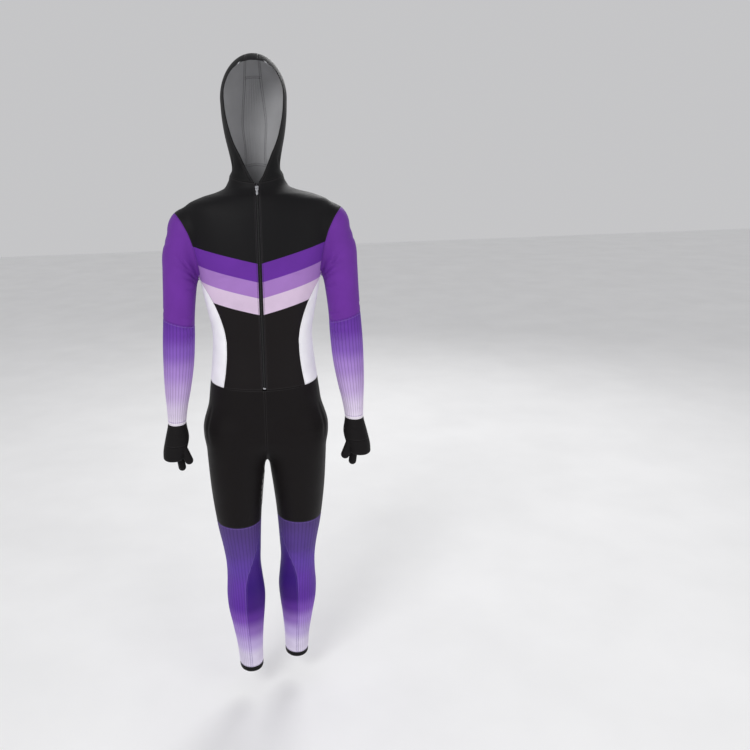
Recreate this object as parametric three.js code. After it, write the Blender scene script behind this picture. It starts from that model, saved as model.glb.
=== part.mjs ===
// Hooded one-piece speed skating suit, in the hollow form that it has when worn.
// Millimetres, +Z up, front facing -Y, +X towards the wearer's left.
// The origin is the centre of the neck's base.
//
// A general figure is a smooth union of stacks of level sections. Rays sent out from inside a limb
// meet its surface, and each cut piece is a grid of such points between its seams, given a thickness.
import * as THREE from "three";

const { abs, asin, atan2, cos, hypot, max, min, PI, sin } = Math;
const DEG = PI / 180;

// Cloth, seams and how finely rays are stepped
const CLOTH = 1.6;
const TAPE_CLOTH = 1.2;
const SEAM = 0.4;
const RAY_STEP = 4;
const RAY_REACH = 420;
const HALVINGS = 22;

// Heights of the main seams
const CHEST_TOP = 22;
const HIP_FRONT = -506;
const CROTCH_CENTRE = -620;
const THIGH_SEAM = -912;
const HEM_TOP = -1385;
const HEM = -1400;
const HEM_STANCE = 64;
const HIP_JOINT = -600;
const CUFF_TOP = -594;
const CUFF = -600;
const KNUCKLES = -655;

// Shoulder tip and armpit, which fix the armhole's leaning plane
const SHOULDER_TIP = { x: 220, z: -45 };
const ARMPIT = { x: 165, z: -206 };
const ARMHOLE_CENTRE = { x: 193, y: 4, z: -118 };

// Elbow seam, higher on the outside of the arm
const ELBOW = { inner: -346, outer: -322 };

// Zip
const TAPE_HALF = 5.4;
const TAPE_GAP = 0.9;
const ZIP_FOOT = -503;

// Half widths, and depths in front of and behind the middle, of the figure's level sections
const TORSO = sections("z half front back x y power", [
  [34, 63, 55, 60, 0, 2, 2.0],
  [13, 77, 60, 68, 0, 0, 2.0],
  [0, 106, 68, 76, 0, -3, 2.0],
  [-9, 140, 74, 80, 0, -6, 2.0],
  [-26, 179, 82, 85, 0, -7, 2.1],
  [-58, 187, 96, 94, 0, -4, 2.2],
  [-120, 183, 110, 103, 0, 0, 2.3],
  [-195, 163, 117, 106, 0, 0, 2.4],
  [-257, 153, 115, 103, 0, 0, 2.4],
  [-322, 141, 106, 96, 0, 0, 2.3],
  [-366, 134, 99, 93, 0, 0, 2.3],
  [-411, 136, 98, 95, 0, 0, 2.3],
  [-456, 141, 102, 102, 0, 0, 2.3],
  [-502, 147, 107, 110, 0, 0, 2.3],
  [-548, 153, 106, 118, 0, 0, 2.3],
  [-595, 158, 100, 123, 0, 0, 2.3],
  [-650, 157, 86, 112, 0, 0, 2.2],
]);
const HEAD = sections("z half front back x y power", [
  [222, 83, 94, 96, 0, -8, 2.1],
  [180, 81, 93, 92, 0, -8, 2.1],
  [140, 76, 86, 82, 0, -6, 2.1],
  [110, 70, 76, 74, 0, -3, 2.1],
  [82, 64, 66, 66, 0, 0, 2.0],
  [60, 61, 60, 62, 0, 2, 2.0],
  [34, 62, 56, 60, 0, 2, 2.0],
  [0, 64, 56, 62, 0, 2, 2.0],
]);
const ARM = sections("z half front back x y power", [
  [-97, 51, 58, 58, 187, 0, 2.0],
  [-150, 51, 54, 54, 204, 3, 2.0],
  [-195, 48, 52, 52, 210, 2, 2.0],
  [-257, 44.5, 49, 49, 216.5, 0, 2.0],
  [-320, 42.5, 45, 45, 222, -4, 2.0],
  [-388, 43, 44, 43, 226, -14, 2.0],
  [-448, 41, 41, 41, 229, -29, 2.0],
  [-511, 35, 36, 36, 234, -44, 2.0],
  [-560, 28, 31, 31, 238, -55, 2.0],
  [-600, 25, 30, 30, 240, -64, 2.0],
  [-640, 32, 38, 36, 242, -71, 2.1],
  [-672, 32, 42, 38, 249, -75, 2.2],
  [-690, 29, 40, 36, 253, -77, 2.3],
]);
const LEG = sections("z half front back x y power", [
  [-640, 82, 92, 104, 86, -2, 2.1],
  [-690, 82, 92, 100, 86, -2, 2.1],
  [-743, 80, 88, 92, 86, -2, 2.1],
  [-816, 74, 82, 83, 88, -2, 2.0],
  [-884, 67, 76, 75, 88, -3, 2.0],
  [-941, 61, 70, 67, 86, -4, 2.0],
  [-1000, 54, 64, 59, 82, -5, 2.0],
  [-1050, 50, 60, 56, 80, -4, 2.0],
  [-1100, 52, 55, 61, 78, 0, 2.0],
  [-1155, 56, 52, 67, 77, 4, 2.0],
  [-1200, 54, 49, 65, 77, 6, 2.0],
  [-1260, 46, 45, 54, 75, 7, 2.0],
  [-1330, 38, 42, 43, 72, 8, 2.0],
  [-1400, 35, 41, 41, 70, 9, 2.0],
]);

// Smooth joins of the stacks, and how high each stack's rounded ends stand
const BLEND = { neck: 30, armpit: 18, hip: 44, crotch: 10 };
const DOME = { torso: [20, 66], head: [106, 40], arm: [61, 12], leg: [60, 60] };

// Turns about the upright axis, 0 at the front and 180 at the back
const NECK_SEAM = sections("turn z", [[0, 22], [45, 30], [90, 45], [135, 58], [180, 66]]);
const HIP_SEAM = sections("turn z", [
  [0, -506], [54, -502], [80, -497], [105, -499], [122, -518], [140, -545], [160, -580], [180, -598],
]);
const SIDE_PANEL = sections("z front back", [
  [-206, 86, 94], [-232, 72, 99], [-270, 60, 103], [-320, 54, 106], [-371, 52, 108], [-450, 52, 108],
  [-510, 54, 105],
]);
const BACK_SEAM = sections("z turn", [
  [-88, 108], [-113, 122], [-172, 132], [-241, 138], [-304, 141], [-367, 142], [-430, 141.5],
  [-493, 140.5], [-548, 140],
]);
const NECK_BACK_TURNS = [90, 100, 112, 134, 155, 167.5, 180];

// Face opening: half width, and how far behind the ray's front face it lies, at each height
const FACE = sections("z half", [
  [22, 5.6], [41, 17], [58, 29], [77, 41], [96, 51], [115, 60], [152, 68], [196, 72.5], [244, 69],
  [280, 52], [302, 27],
]);
const FACE_FRONT = sections("z y", [
  [22, -58], [58, -62], [96, -70], [152, -66], [196, -58], [244, -52], [302, -52],
]);

// Hood's back strip: its rise round the crown, and its half width there
const STRIP = sections("rise half", [[-62, 25], [-30, 33], [0, 30], [40, 22], [90, 17], [122, 15]]);
const CROWN_RISE = 42;

// Colours
const BLACK = [0x19181a, 0.55];
const RIBBED = [0x3a3438, 0.6];
const WHITE = [0xf1eff2, 0.55];
const PURPLE = [0x6a3098, 0.5];
const VIOLET = [0x6f45a8, 0.5];
const DUSK = [0x5b4a95, 0.5];
const GREY = [0x8c8c92, 0.35];

// A table of rows with named columns, read as smooth curves against its first column
function sections(columns, rows) {
  const names = columns.split(" ");
  const rising = rows[0][0] < rows[rows.length - 1][0];
  const slope = (i, c) => {
    const before = rows[max(i - 1, 0)];
    const after = rows[min(i + 1, rows.length - 1)];
    return (after[c] - before[c]) / (after[0] - before[0]);
  };
  const slopes = rows.map((row, i) => row.map((_, c) => slope(i, c)));
  const first = rows[0][0];
  const last = rows[rows.length - 1][0];
  const read = (place) => {
    const at = rising ? min(max(place, first), last) : max(min(place, first), last);
    let i = 0;
    while (i < rows.length - 2 && (rising ? at > rows[i + 1][0] : at < rows[i + 1][0])) i += 1;
    const span = rows[i + 1][0] - rows[i][0];
    const t = (at - rows[i][0]) / span;
    const rest = 1 - t;
    const near = (1 + 2 * t) * rest * rest;
    const leaving = t * rest * rest * span;
    const reached = t * t * (3 - 2 * t);
    const arriving = -t * t * rest * span;
    const found = {};
    names.forEach((name, c) => {
      const here = rows[i][c] * near + slopes[i][c] * leaving;
      found[name] = here + rows[i + 1][c] * reached + slopes[i + 1][c] * arriving;
    });
    return found;
  };
  return { read, first, last };
}

const point = (x, y, z) => new THREE.Vector3(x, y, z);
const lerp = (a, b, t) => a + (b - a) * t;
const steps = (count) => Array.from({ length: count + 1 }, (_, i) => i / count);

// Signed distance, along the section's radius, to one stack with rounded ends
function stack(table, [crown, foot], side = 1, stance = 0) {
  return (p) => {
    const s = table.read(p.z);
    const shift = side * stance * 0.5 * max(0, (HIP_JOINT - p.z) / (HIP_JOINT - HEM));
    const dx = p.x - side * s.x;
    const dy = p.y - s.y - shift;
    const u = abs(dx) / s.half;
    const v = abs(dy) / (dy < 0 ? s.front : s.back);
    const level = (u ** s.power + v ** s.power) ** (1 / s.power);
    const above = max(0, p.z - table.first);
    const below = max(0, table.last - p.z);
    const rho = max(hypot(level, above / crown, below / foot), 1e-4);
    return max(hypot(dx, dy, above, below), 0.01) * (1 - 1 / rho);
  };
}

// Union of two distances, rounded where they meet
function blend(a, b, width) {
  const near = max(width - abs(a - b), 0) / width;
  return min(a, b) - near * near * width * 0.25;
}

const torso = stack(TORSO, DOME.torso);
const head = stack(HEAD, DOME.head);
const arms = [-1, 1].map((side) => stack(ARM, DOME.arm, side));
const legs = [-1, 1].map((side) => stack(LEG, DOME.leg, side, HEM_STANCE));

function figure(p) {
  const trunk = blend(torso(p), blend(legs[0](p), legs[1](p), BLEND.crotch), BLEND.hip);
  const armed = blend(trunk, min(arms[0](p), arms[1](p)), BLEND.armpit);
  return blend(armed, head(p), BLEND.neck);
}

// Distance outside the armhole's plane, which leans from the armpit out to the shoulder tip
const ARMHOLE_RUN = hypot(SHOULDER_TIP.x - ARMPIT.x, SHOULDER_TIP.z - ARMPIT.z);
const ARMHOLE_UP = {
  x: (SHOULDER_TIP.x - ARMPIT.x) / ARMHOLE_RUN,
  z: (SHOULDER_TIP.z - ARMPIT.z) / ARMHOLE_RUN,
};
const pastArmhole = (p) => ARMHOLE_UP.z * (abs(p.x) - ARMPIT.x) - ARMHOLE_UP.x * (p.z - ARMPIT.z);
// Below the armpit an upright plane in the gap beside the waist parts the trunk from the arm
const ARM_GAP = { trunk: 176, arm: 158, front: 40 };
const FRONT_SLACK = 26;
const trunkOnly = (p) => max(figure(p), p.z > ARMPIT.z ? pastArmhole(p) : abs(p.x) - ARM_GAP.trunk);
// The sleeve's own region reaches further in at the front, where the armhole curves in
const frontSlack = (p) => FRONT_SLACK * min(1, max(0, -p.y / ARM_GAP.front));
const aboveArmpit = (p) => max(figure(p), ARMPIT.z - p.z);
const outsideTrunk = (p) => (p.z > ARMPIT.z ? -pastArmhole(p) - frontSlack(p) : ARM_GAP.arm - abs(p.x));
const armOnly = (p) => max(figure(p), outsideTrunk(p));
const oneLeg = (side) => (p) => max(figure(p), -side * p.x);

// Where a ray leaves a solid that it starts in
function cast(from, toward, solid = figure) {
  const way = toward.clone().normalize();
  const at = (reach) => from.clone().addScaledVector(way, reach);
  let near = 0;
  let far = RAY_STEP;
  while (solid(at(far)) < 0 && far < RAY_REACH) {
    near = far;
    far += RAY_STEP;
  }
  for (let i = 0; i < HALVINGS; i += 1) {
    const middle = (near + far) / 2;
    if (solid(at(middle)) < 0) near = middle;
    else far = middle;
  }
  return at((near + far) / 2);
}

// Outward direction of the figure's surface
function outward(p) {
  const e = 1.5;
  const rise = (x, y, z) => figure(point(p.x + x, p.y + y, p.z + z)) - figure(point(p.x - x, p.y - y, p.z - z));
  return point(rise(e, 0, 0), rise(0, e, 0), rise(0, 0, e)).normalize();
}

// Direction at a turn about the upright axis, on one side of the suit
const facing = (side, turn) => point(side * sin(turn * DEG), -cos(turn * DEG), 0);

// A row of points from one edge to the other: rays whose turn and rise pass evenly between the two.
// The turn goes round by the front or by the back, and a dip lowers the middle of the row.
function round(origin, from, to, shares, side, way, solid, dip = 0) {
  const turnOf = (p) => {
    const turn = atan2(-way * (p.y - origin.y), side * (p.x - origin.x));
    return turn < -PI / 2 ? turn + 2 * PI : turn;
  };
  const riseOf = (p) => atan2(p.z - origin.z, hypot(p.x - origin.x, p.y - origin.y));
  return shares.map((share, i) => {
    if (i === 0) return from;
    if (i === shares.length - 1) return to;
    const turn = lerp(turnOf(from), turnOf(to), share);
    const rise = lerp(riseOf(from), riseOf(to), share);
    const ray = point(side * cos(turn) * cos(rise), -way * sin(turn) * cos(rise), sin(rise));
    const start = point(origin.x, origin.y, origin.z - dip * 4 * share * (1 - share));
    return cast(start, ray, solid);
  });
}

// A row of points along the great circle between two directions
function across(origin, from, to, shares, solid = figure) {
  const a = from.clone().sub(origin).normalize();
  const b = to.clone().sub(origin).normalize();
  const whole = a.angleTo(b);
  return shares.map((share, i) => {
    if (i === 0) return from;
    if (i === shares.length - 1) return to;
    const ray = a.clone().multiplyScalar(sin((1 - share) * whole)).addScaledVector(b, sin(share * whole));
    return cast(origin, ray, solid);
  });
}

// Draws a grid's outermost rows and columns in by half a seam's gap
function drawIn(grid) {
  const toward = (a, b) => a.clone().lerp(b, min(0.3, SEAM / 2 / max(a.distanceTo(b), 1e-6)));
  const narrow = (row) => row.map((p, j) => {
    if (j === 0) return toward(p, row[1]);
    return j === row.length - 1 ? toward(p, row[j - 1]) : p;
  });
  const last = grid.length - 1;
  const drawn = grid.map((row, i) => {
    if (i === 0) return row.map((p, j) => toward(p, grid[1][j]));
    return i === last ? row.map((p, j) => toward(p, grid[last - 1][j])) : row;
  });
  return drawn.map(narrow);
}

// Closed wall over a grid of points on the suit's outer face, with the same points one thickness in
function wall(grid, thickness = CLOTH, lift = 0) {
  const edged = drawIn(grid);
  const rows = grid.length;
  const columns = grid[0].length;
  const normals = edged.flat().map(outward);
  const offset = (depth) => edged.flat().map((p, i) => p.clone().addScaledVector(normals[i], depth));
  const places = [...offset(lift), ...offset(lift - thickness)];
  const inner = rows * columns;
  const cell = (i, j) => i * columns + j;
  const faces = [];
  const quad = (p, q, r, s) => faces.push(p, q, r, p, r, s);
  for (let i = 0; i < rows - 1; i += 1) {
    for (let j = 0; j < columns - 1; j += 1) {
      const corners = [cell(i, j), cell(i + 1, j), cell(i + 1, j + 1), cell(i, j + 1)];
      quad(...corners);
      quad(...corners.map((corner) => corner + inner).reverse());
    }
  }
  for (let i = 0; i < rows - 1; i += 1) {
    const left = [cell(i, 0), cell(i + 1, 0)];
    const right = [cell(i + 1, columns - 1), cell(i, columns - 1)];
    for (const [p, q] of [left, right]) quad(q, p, p + inner, q + inner);
  }
  for (let j = 0; j < columns - 1; j += 1) {
    const low = [cell(0, j + 1), cell(0, j)];
    const high = [cell(rows - 1, j), cell(rows - 1, j + 1)];
    for (const [p, q] of [low, high]) quad(q, p, p + inner, q + inner);
  }
  return solidOf(places, faces);
}

// A closed solid from points and triangles, turned right way out by the sign of its volume
function solidOf(places, triangles) {
  let volume = 0;
  for (let i = 0; i < triangles.length; i += 3) {
    const [p, q, r] = triangles.slice(i, i + 3).map((index) => places[index]);
    volume += p.dot(q.clone().cross(r));
  }
  const faces = volume < 0 ? triangles.toReversed() : triangles;
  const geometry = new THREE.BufferGeometry();
  const numbers = places.flatMap((p) => [p.x, p.y, p.z]);
  geometry.setAttribute("position", new THREE.Float32BufferAttribute(numbers, 3));
  geometry.setIndex(faces);
  geometry.computeVertexNormals();
  return geometry;
}

const suit = new THREE.Group();

function add(name, geometry, [colour, roughness], metalness = 0, parent = suit) {
  const finish = new THREE.MeshStandardMaterial({ color: colour, roughness, metalness });
  const mesh = new THREE.Mesh(geometry, finish);
  mesh.name = name;
  parent.add(mesh);
  return mesh;
}

const slice = (grid, from, to) => grid.map((row) => row.slice(from, to + 1));

// Counts of rows and columns between neighbouring seams, shared by the pieces that meet there
const LOWER_ROWS = 9;
const ARMHOLE_HALF = 8;
const ARMHOLE_BACK_LOW = 5;
const SHOULDER_ROWS = 4;
const FRONT_COLUMNS = 6;
const SIDE_COLUMNS = 4;
const BACK_SIDE_COLUMNS = 3;
const HOOD_ROWS = 15;
const CROTCH_ROWS = 7;
const THIGH_ROWS = 5;
const CALF_ROWS = 12;
const ARM_ROWS = 6;
const FOREARM_ROWS = 7;
const RING = 2 * ARMHOLE_HALF;

const neckPoint = (side, turn) => {
  const { z } = NECK_SEAM.read(turn);
  return cast(point(0, 0, z), facing(side, turn));
};
const trunkPoint = (side, turn, z) => cast(point(0, 0, z), facing(side, turn), trunkOnly);
const hipPoint = (side, turn) => trunkPoint(side, turn, HIP_SEAM.read(turn).z);
const zipTurn = (z) => abs(atan2(TAPE_HALF, -cast(point(0, 0, z), facing(1, 0)).y)) / DEG;

// Armhole: points from the armpit forward to the shoulder tip, and back down behind. The front half
// curves in from the armhole's plane towards the chest.
const ARMHOLE_BOW = { lean: 0.34, power: 1.6 };
function armhole(side) {
  const centre = point(side * ARMHOLE_CENTRE.x, ARMHOLE_CENTRE.y, ARMHOLE_CENTRE.z);
  const up = point(side * ARMHOLE_UP.x, 0, ARMHOLE_UP.z);
  const forward = point(0, -1, 0);
  return steps(RING).map((share) => {
    const turn = 2 * PI * share;
    const ray = up.clone().multiplyScalar(-cos(turn)).addScaledVector(forward, sin(turn));
    ray.x -= side * ARMHOLE_BOW.lean * max(0, sin(turn)) ** ARMHOLE_BOW.power;
    return cast(centre, ray, aboveArmpit);
  });
}

// Seams of one side's trunk, each a row of points from its foot to its top
function trunkSeams(side) {
  const ring = armhole(side);
  const shoulder = across(point(0, 0, -150), ring[ARMHOLE_HALF], neckPoint(side, 90), steps(SHOULDER_ROWS));
  const edge = (turnAt, foot) => steps(LOWER_ROWS).map((share) => {
    const z = lerp(HIP_SEAM.read(foot).z, ARMPIT.z, share);
    return share === 1 ? ring[0] : trunkPoint(side, turnAt(z), z);
  });
  const sideFront = edge((z) => SIDE_PANEL.read(z).front, SIDE_PANEL.read(HIP_FRONT).front);
  const sideBack = edge((z) => SIDE_PANEL.read(z).back, SIDE_PANEL.read(HIP_FRONT).back);
  const backTop = RING - ARMHOLE_BACK_LOW;
  const backFoot = HIP_SEAM.read(140).z;
  const backSeam = steps(LOWER_ROWS + ARMHOLE_BACK_LOW).map((share) => {
    const z = lerp(backFoot, ring[backTop].z, share);
    return share === 1 ? ring[backTop] : trunkPoint(side, BACK_SEAM.read(z).turn, z);
  });
  return { ring, shoulder, sideFront, sideBack, backSeam, backTop };
}

// Front: from the side panel, armhole and shoulder seam to the zip, and from the hip to the neck
function frontGrid(side, seams) {
  const outer = [...seams.sideFront, ...seams.ring.slice(1, ARMHOLE_HALF + 1), ...seams.shoulder.slice(1)];
  const chestRows = outer.length - 1 - LOWER_ROWS;
  const zipHeights = [
    ...steps(LOWER_ROWS).map((share) => lerp(HIP_FRONT, ARMPIT.z, share)),
    ...steps(chestRows).slice(1).map((share) => lerp(ARMPIT.z, CHEST_TOP, share)),
  ];
  const shares = steps(FRONT_COLUMNS);
  const hipTurn = SIDE_PANEL.read(HIP_FRONT).front;
  return outer.map((from, i) => {
    const z = zipHeights[i];
    if (i === 0) return shares.map((share) => hipPoint(side, lerp(hipTurn, zipTurn(z), share)));
    if (i === outer.length - 1) return shares.map((share) => neckPoint(side, lerp(90, zipTurn(z), share)));
    const to = cast(point(side * TAPE_HALF, 0, z), point(0, -1, 0));
    const origin = point(0, 0, min((from.z + z) / 2, -115));
    return round(origin, from, to, shares, side, 1, trunkOnly);
  });
}

// How far up its last row a panel that ends in a point runs
const POINT_RUN = 0.85;

// Side panel, which tapers up to the armpit
function sideGrid(side, seams) {
  const hip = SIDE_PANEL.read(HIP_FRONT);
  const shares = steps(SIDE_COLUMNS);
  return seams.sideFront.map((front, i) => {
    if (i === 0) return shares.map((share) => hipPoint(side, lerp(hip.front, hip.back, share)));
    const last = i === LOWER_ROWS;
    const from = last ? seams.sideFront[i - 1].clone().lerp(front, POINT_RUN) : front;
    const to = last ? seams.sideBack[i - 1].clone().lerp(seams.sideBack[i], POINT_RUN) : seams.sideBack[i];
    const origin = point(0, 0, from.z);
    if (last) return shares.map((share) => from.clone().lerp(to, lerp(0.12, 0.88, share)));
    return shares.map((share, j) => {
      if (j === 0) return from;
      if (j === SIDE_COLUMNS) return to;
      const turn = (p) => atan2(abs(p.x), -p.y) / DEG;
      return cast(origin, facing(side, lerp(turn(from), turn(to), share)), trunkOnly);
    });
  });
}

// Back side panel, from the side panel and the low half of the armhole's back to the back seam
function backSideGrid(side, seams) {
  const low = seams.ring.slice(seams.backTop, RING).reverse();
  const outer = [...seams.sideBack, ...low];
  const shares = steps(BACK_SIDE_COLUMNS);
  const hipTurn = SIDE_PANEL.read(HIP_FRONT).back;
  return outer.map((edge, i) => {
    if (i === 0) return shares.map((share) => hipPoint(side, lerp(hipTurn, 140, share)));
    const last = i === outer.length - 1;
    const from = last ? outer[i - 1].clone().lerp(edge, POINT_RUN) : edge;
    const to = last ? seams.backSeam[i - 1].clone().lerp(seams.backSeam[i], POINT_RUN) : seams.backSeam[i];
    if (last) return shares.map((share) => from.clone().lerp(to, share));
    return round(point(0, 0, (from.z + to.z) / 2), from, to, shares, side, -1, trunkOnly);
  });
}

// Back: one piece from the left back seam, armhole and shoulder seam across to the right ones
function backGrid(left, right) {
  const edgeOf = (seams) => {
    const high = seams.ring.slice(ARMHOLE_HALF, seams.backTop).reverse();
    return [...seams.backSeam, ...high, ...seams.shoulder.slice(1)];
  };
  const halves = NECK_BACK_TURNS.map((turn) => (turn - 90) / 180);
  const shares = [...halves, ...halves.slice(0, -1).reverse().map((share) => 1 - share)];
  const leftEdge = edgeOf(left);
  const rightEdge = edgeOf(right);
  const last = leftEdge.length - 1;
  const bySide = (share, at) => (share <= 0.5 ? at(1, share) : at(-1, 1 - share));
  return leftEdge.map((from, i) => {
    if (i === 0) return shares.map((share) => bySide(share, (s, part) => hipPoint(s, 140 + 80 * part)));
    if (i === last) return shares.map((share) => bySide(share, (s, part) => neckPoint(s, 90 + 180 * part)));
    const to = rightEdge[i];
    const dip = 45 * (1 - i / last);
    const origin = point(0, 0, min(from.z, -115));
    return round(origin, from, to, shares, 1, -1, trunkOnly, dip);
  });
}

// Leg ring: turns from the outer side by the front to the inner side, and on by the back.
// Below the knee the inner panel's front seam comes round towards the shin, and takes the ring's
// columns on both sides of it along.
const LEG_FRONT_COLUMNS = 2 + FRONT_COLUMNS;
const LEG_BACK_COLUMNS = 2 + BACK_SIDE_COLUMNS + NECK_BACK_TURNS.length - 1;
const LEG_COLUMNS = LEG_FRONT_COLUMNS + LEG_BACK_COLUMNS;
const INNER_FROM = LEG_FRONT_COLUMNS - 1;
const INNER_TO = LEG_FRONT_COLUMNS + 6;
const evenTurn = (column) => (column <= LEG_FRONT_COLUMNS
  ? (180 * column) / LEG_FRONT_COLUMNS
  : 180 + (180 * (column - LEG_FRONT_COLUMNS)) / LEG_BACK_COLUMNS);
const SEAM_TURNS = [INNER_FROM, INNER_TO].map(evenTurn);
const LEG_SEAM = sections("z turn", [
  [-912, SEAM_TURNS[0]], [-950, 154], [-1000, 134], [-1060, 106], [-1120, 93], [-1250, 91], [-1400, 92],
]);
const legTurns = (z) => {
  const front = LEG_SEAM.read(z).turn;
  const [even, back] = SEAM_TURNS;
  return Array.from({ length: LEG_COLUMNS + 1 }, (_, column) => {
    const turn = evenTurn(column);
    if (turn <= even) return (turn / even) * front;
    return turn < back ? lerp(front, back, (turn - even) / (back - even)) : turn;
  });
};
const stance = (side, z) => side * HEM_STANCE * 0.5 * max(0, (HIP_JOINT - z) / (HIP_JOINT - HEM));
const legAxis = (side, z) => {
  const s = LEG.read(z);
  return point(side * s.x, s.y + stance(side, z), z);
};
const legRay = (side, turn) => point(side * cos(turn * DEG), -sin(turn * DEG), 0);
const legPoint = (side, turn, z) => cast(legAxis(side, z), legRay(side, turn), oneLeg(side));
const legRing = (side, z) => legTurns(z).map((turn) => legPoint(side, turn, z));

// Centre seam below the hip, round under the crotch, in the plane between the legs
const centrePoint = (rise, front) => {
  const ray = point(0, (front ? -1 : 1) * cos(rise), sin(rise));
  return cast(point(0, 0, CROTCH_CENTRE), ray);
};
const riseOfCentre = (z, front) => {
  const at = cast(point(0, 0, z), point(0, front ? -1 : 1, 0));
  return atan2(at.z - CROTCH_CENTRE, abs(at.y));
};

// Shorts: front or back of one thigh, from the outer side to the centre seam and the inside leg
function shortsGrid(side, front) {
  const hip = SIDE_PANEL.read(HIP_FRONT);
  const sideTurn = (hip.front + hip.back) / 2;
  const sideTurns = [sideTurn, (sideTurn + (front ? hip.front : hip.back)) / 2];
  const frontTurns = steps(FRONT_COLUMNS).map((share) => hip.front * (1 - share));
  const backTurns = [
    ...steps(BACK_SIDE_COLUMNS).slice(0, -1).map((share) => lerp(hip.back, 140, share)),
    ...NECK_BACK_TURNS.map((turn) => 140 + (turn - 90) * (40 / 90)),
  ];
  const turns = [...sideTurns, ...(front ? frontTurns : backTurns)];
  const hipZ = HIP_SEAM.read(sideTurn).z;
  const centreZ = HIP_SEAM.read(front ? 0 : 180).z;
  const crotchRise = riseOfCentre(centreZ, front);
  const rows = CROTCH_ROWS + THIGH_ROWS;
  const crotch = centrePoint(-PI / 2, front);
  const columns = turns.length - 1;
  const way = front ? 1 : -1;
  return steps(rows).map((share, i) => {
    if (i === 0) return turns.map((turn) => hipPoint(side, turn));
    const outerZ = lerp(hipZ, THIGH_SEAM, share);
    const low = max(0, i - CROTCH_ROWS) / THIGH_ROWS;
    const high = min(1, i / CROTCH_ROWS);
    const innerZ = lerp(crotch.z, THIGH_SEAM, low);
    const axisX = lerp(0, legAxis(side, outerZ).x, high);
    if (i === rows) {
      const ring = legRing(side, THIGH_SEAM);
      return front ? ring.slice(0, columns + 1) : ring.slice(LEG_FRONT_COLUMNS).reverse();
    }
    const to = i <= CROTCH_ROWS
      ? centrePoint(lerp(crotchRise, -PI / 2, high), front)
      : legPoint(side, 180, innerZ);
    const from = cast(point(axisX, legAxis(side, outerZ).y, outerZ), point(side, 0, 0), oneLeg(side));
    const origin = point(axisX, legAxis(side, outerZ).y * high, (outerZ + to.z) / 2);
    return round(origin, from, to, steps(columns), side, way, oneLeg(side));
  });
}

// Lower leg between two heights, as a grid over the whole ring
const legGrid = (side, top, foot, rows) => steps(rows).map((share) => legRing(side, lerp(top, foot, share)));
// The ring's columns from one to another, going past its end
const wrap = (grid, from, to) => grid.map((row) => {
  const whole = row.slice(0, -1);
  return Array.from({ length: to - from + 1 }, (_, k) => whole[(from + k) % whole.length]);
});

// Arm axis, and the point of the arm's surface at a turn: 0 inner side, 90 front, 180 outer side
const armAxis = (side, z) => {
  const s = ARM.read(z);
  return point(side * s.x, s.y, z);
};
const armRay = (side, turn, lean = 0) => point(
  -side * cos(turn) * cos(lean),
  -sin(turn),
  -cos(turn) * sin(lean),
);
const ELBOW_MIDDLE = (ELBOW.inner + ELBOW.outer) / 2;
const ELBOW_LEAN = atan2(ELBOW.outer - ELBOW.inner, 88);
const armRing = (side, z, lean = 0) => steps(RING).map((share) =>
  cast(armAxis(side, z), armRay(side, 2 * PI * share, lean)));

// Upper sleeve: rays turn from the armhole's plane to the elbow's as the rows go down
function sleeveGrid(side, ring) {
  const start = point(side * ARMHOLE_CENTRE.x, ARMHOLE_CENTRE.y, ARMHOLE_CENTRE.z);
  const end = armAxis(side, ELBOW_MIDDLE);
  const elbow = armRing(side, ELBOW_MIDDLE, ELBOW_LEAN);
  return steps(ARM_ROWS).map((share, i) => {
    if (i === 0) return ring;
    if (i === ARM_ROWS) return elbow;
    const z = lerp(start.z, end.z, share);
    const origin = start.clone().lerp(end, share).lerp(armAxis(side, z), share);
    return ring.map((p, k) => {
      const a = p.clone().sub(start).normalize().multiplyScalar(1 - share);
      const b = elbow[k].clone().sub(end).normalize();
      return cast(origin, a.addScaledVector(b, share), armOnly);
    });
  });
}

function armGrid(side, top, foot, rows, topLean = 0) {
  return steps(rows).map((share) => armRing(side, lerp(top, foot, share), topLean * (1 - share)));
}

// A closed-ended wall: rings of a grid, then one point that closes them
function cup(rings, tip, axis, thickness = CLOTH) {
  const count = rings[0].length;
  const places = [];
  const layer = (depth) => {
    rings.forEach((ring) => {
      const middle = ring.reduce((sum, p) => sum.add(p), point(0, 0, 0)).divideScalar(count);
      const radius = ring[0].distanceTo(middle);
      ring.forEach((p) => places.push(p.clone().lerp(middle, min(0.8, depth / radius))));
    });
    places.push(tip.clone().addScaledVector(axis, -depth));
  };
  layer(0);
  layer(thickness);
  const inner = rings.length * count + 1;
  const faces = [];
  const next = (j) => (j + 1) % count;
  const triangle = (p, q, r) => faces.push(p, q, r);
  const quad = (p, q, r, s) => {
    triangle(p, q, r);
    triangle(p, r, s);
  };
  for (let j = 0; j < count; j += 1) {
    for (let i = 0; i < rings.length - 1; i += 1) {
      const corners = [i * count + j, (i + 1) * count + j, (i + 1) * count + next(j), i * count + next(j)];
      quad(...corners);
      quad(...corners.map((corner) => corner + inner).reverse());
    }
    const low = (rings.length - 1) * count;
    triangle(low + j, inner - 1, low + next(j));
    triangle(inner + low + next(j), inner + inner - 1, inner + low + j);
    quad(j, next(j), inner + next(j), inner + j);
  }
  return solidOf(places, faces);
}

const ROOT_CLEARANCE = 1.3;

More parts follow.
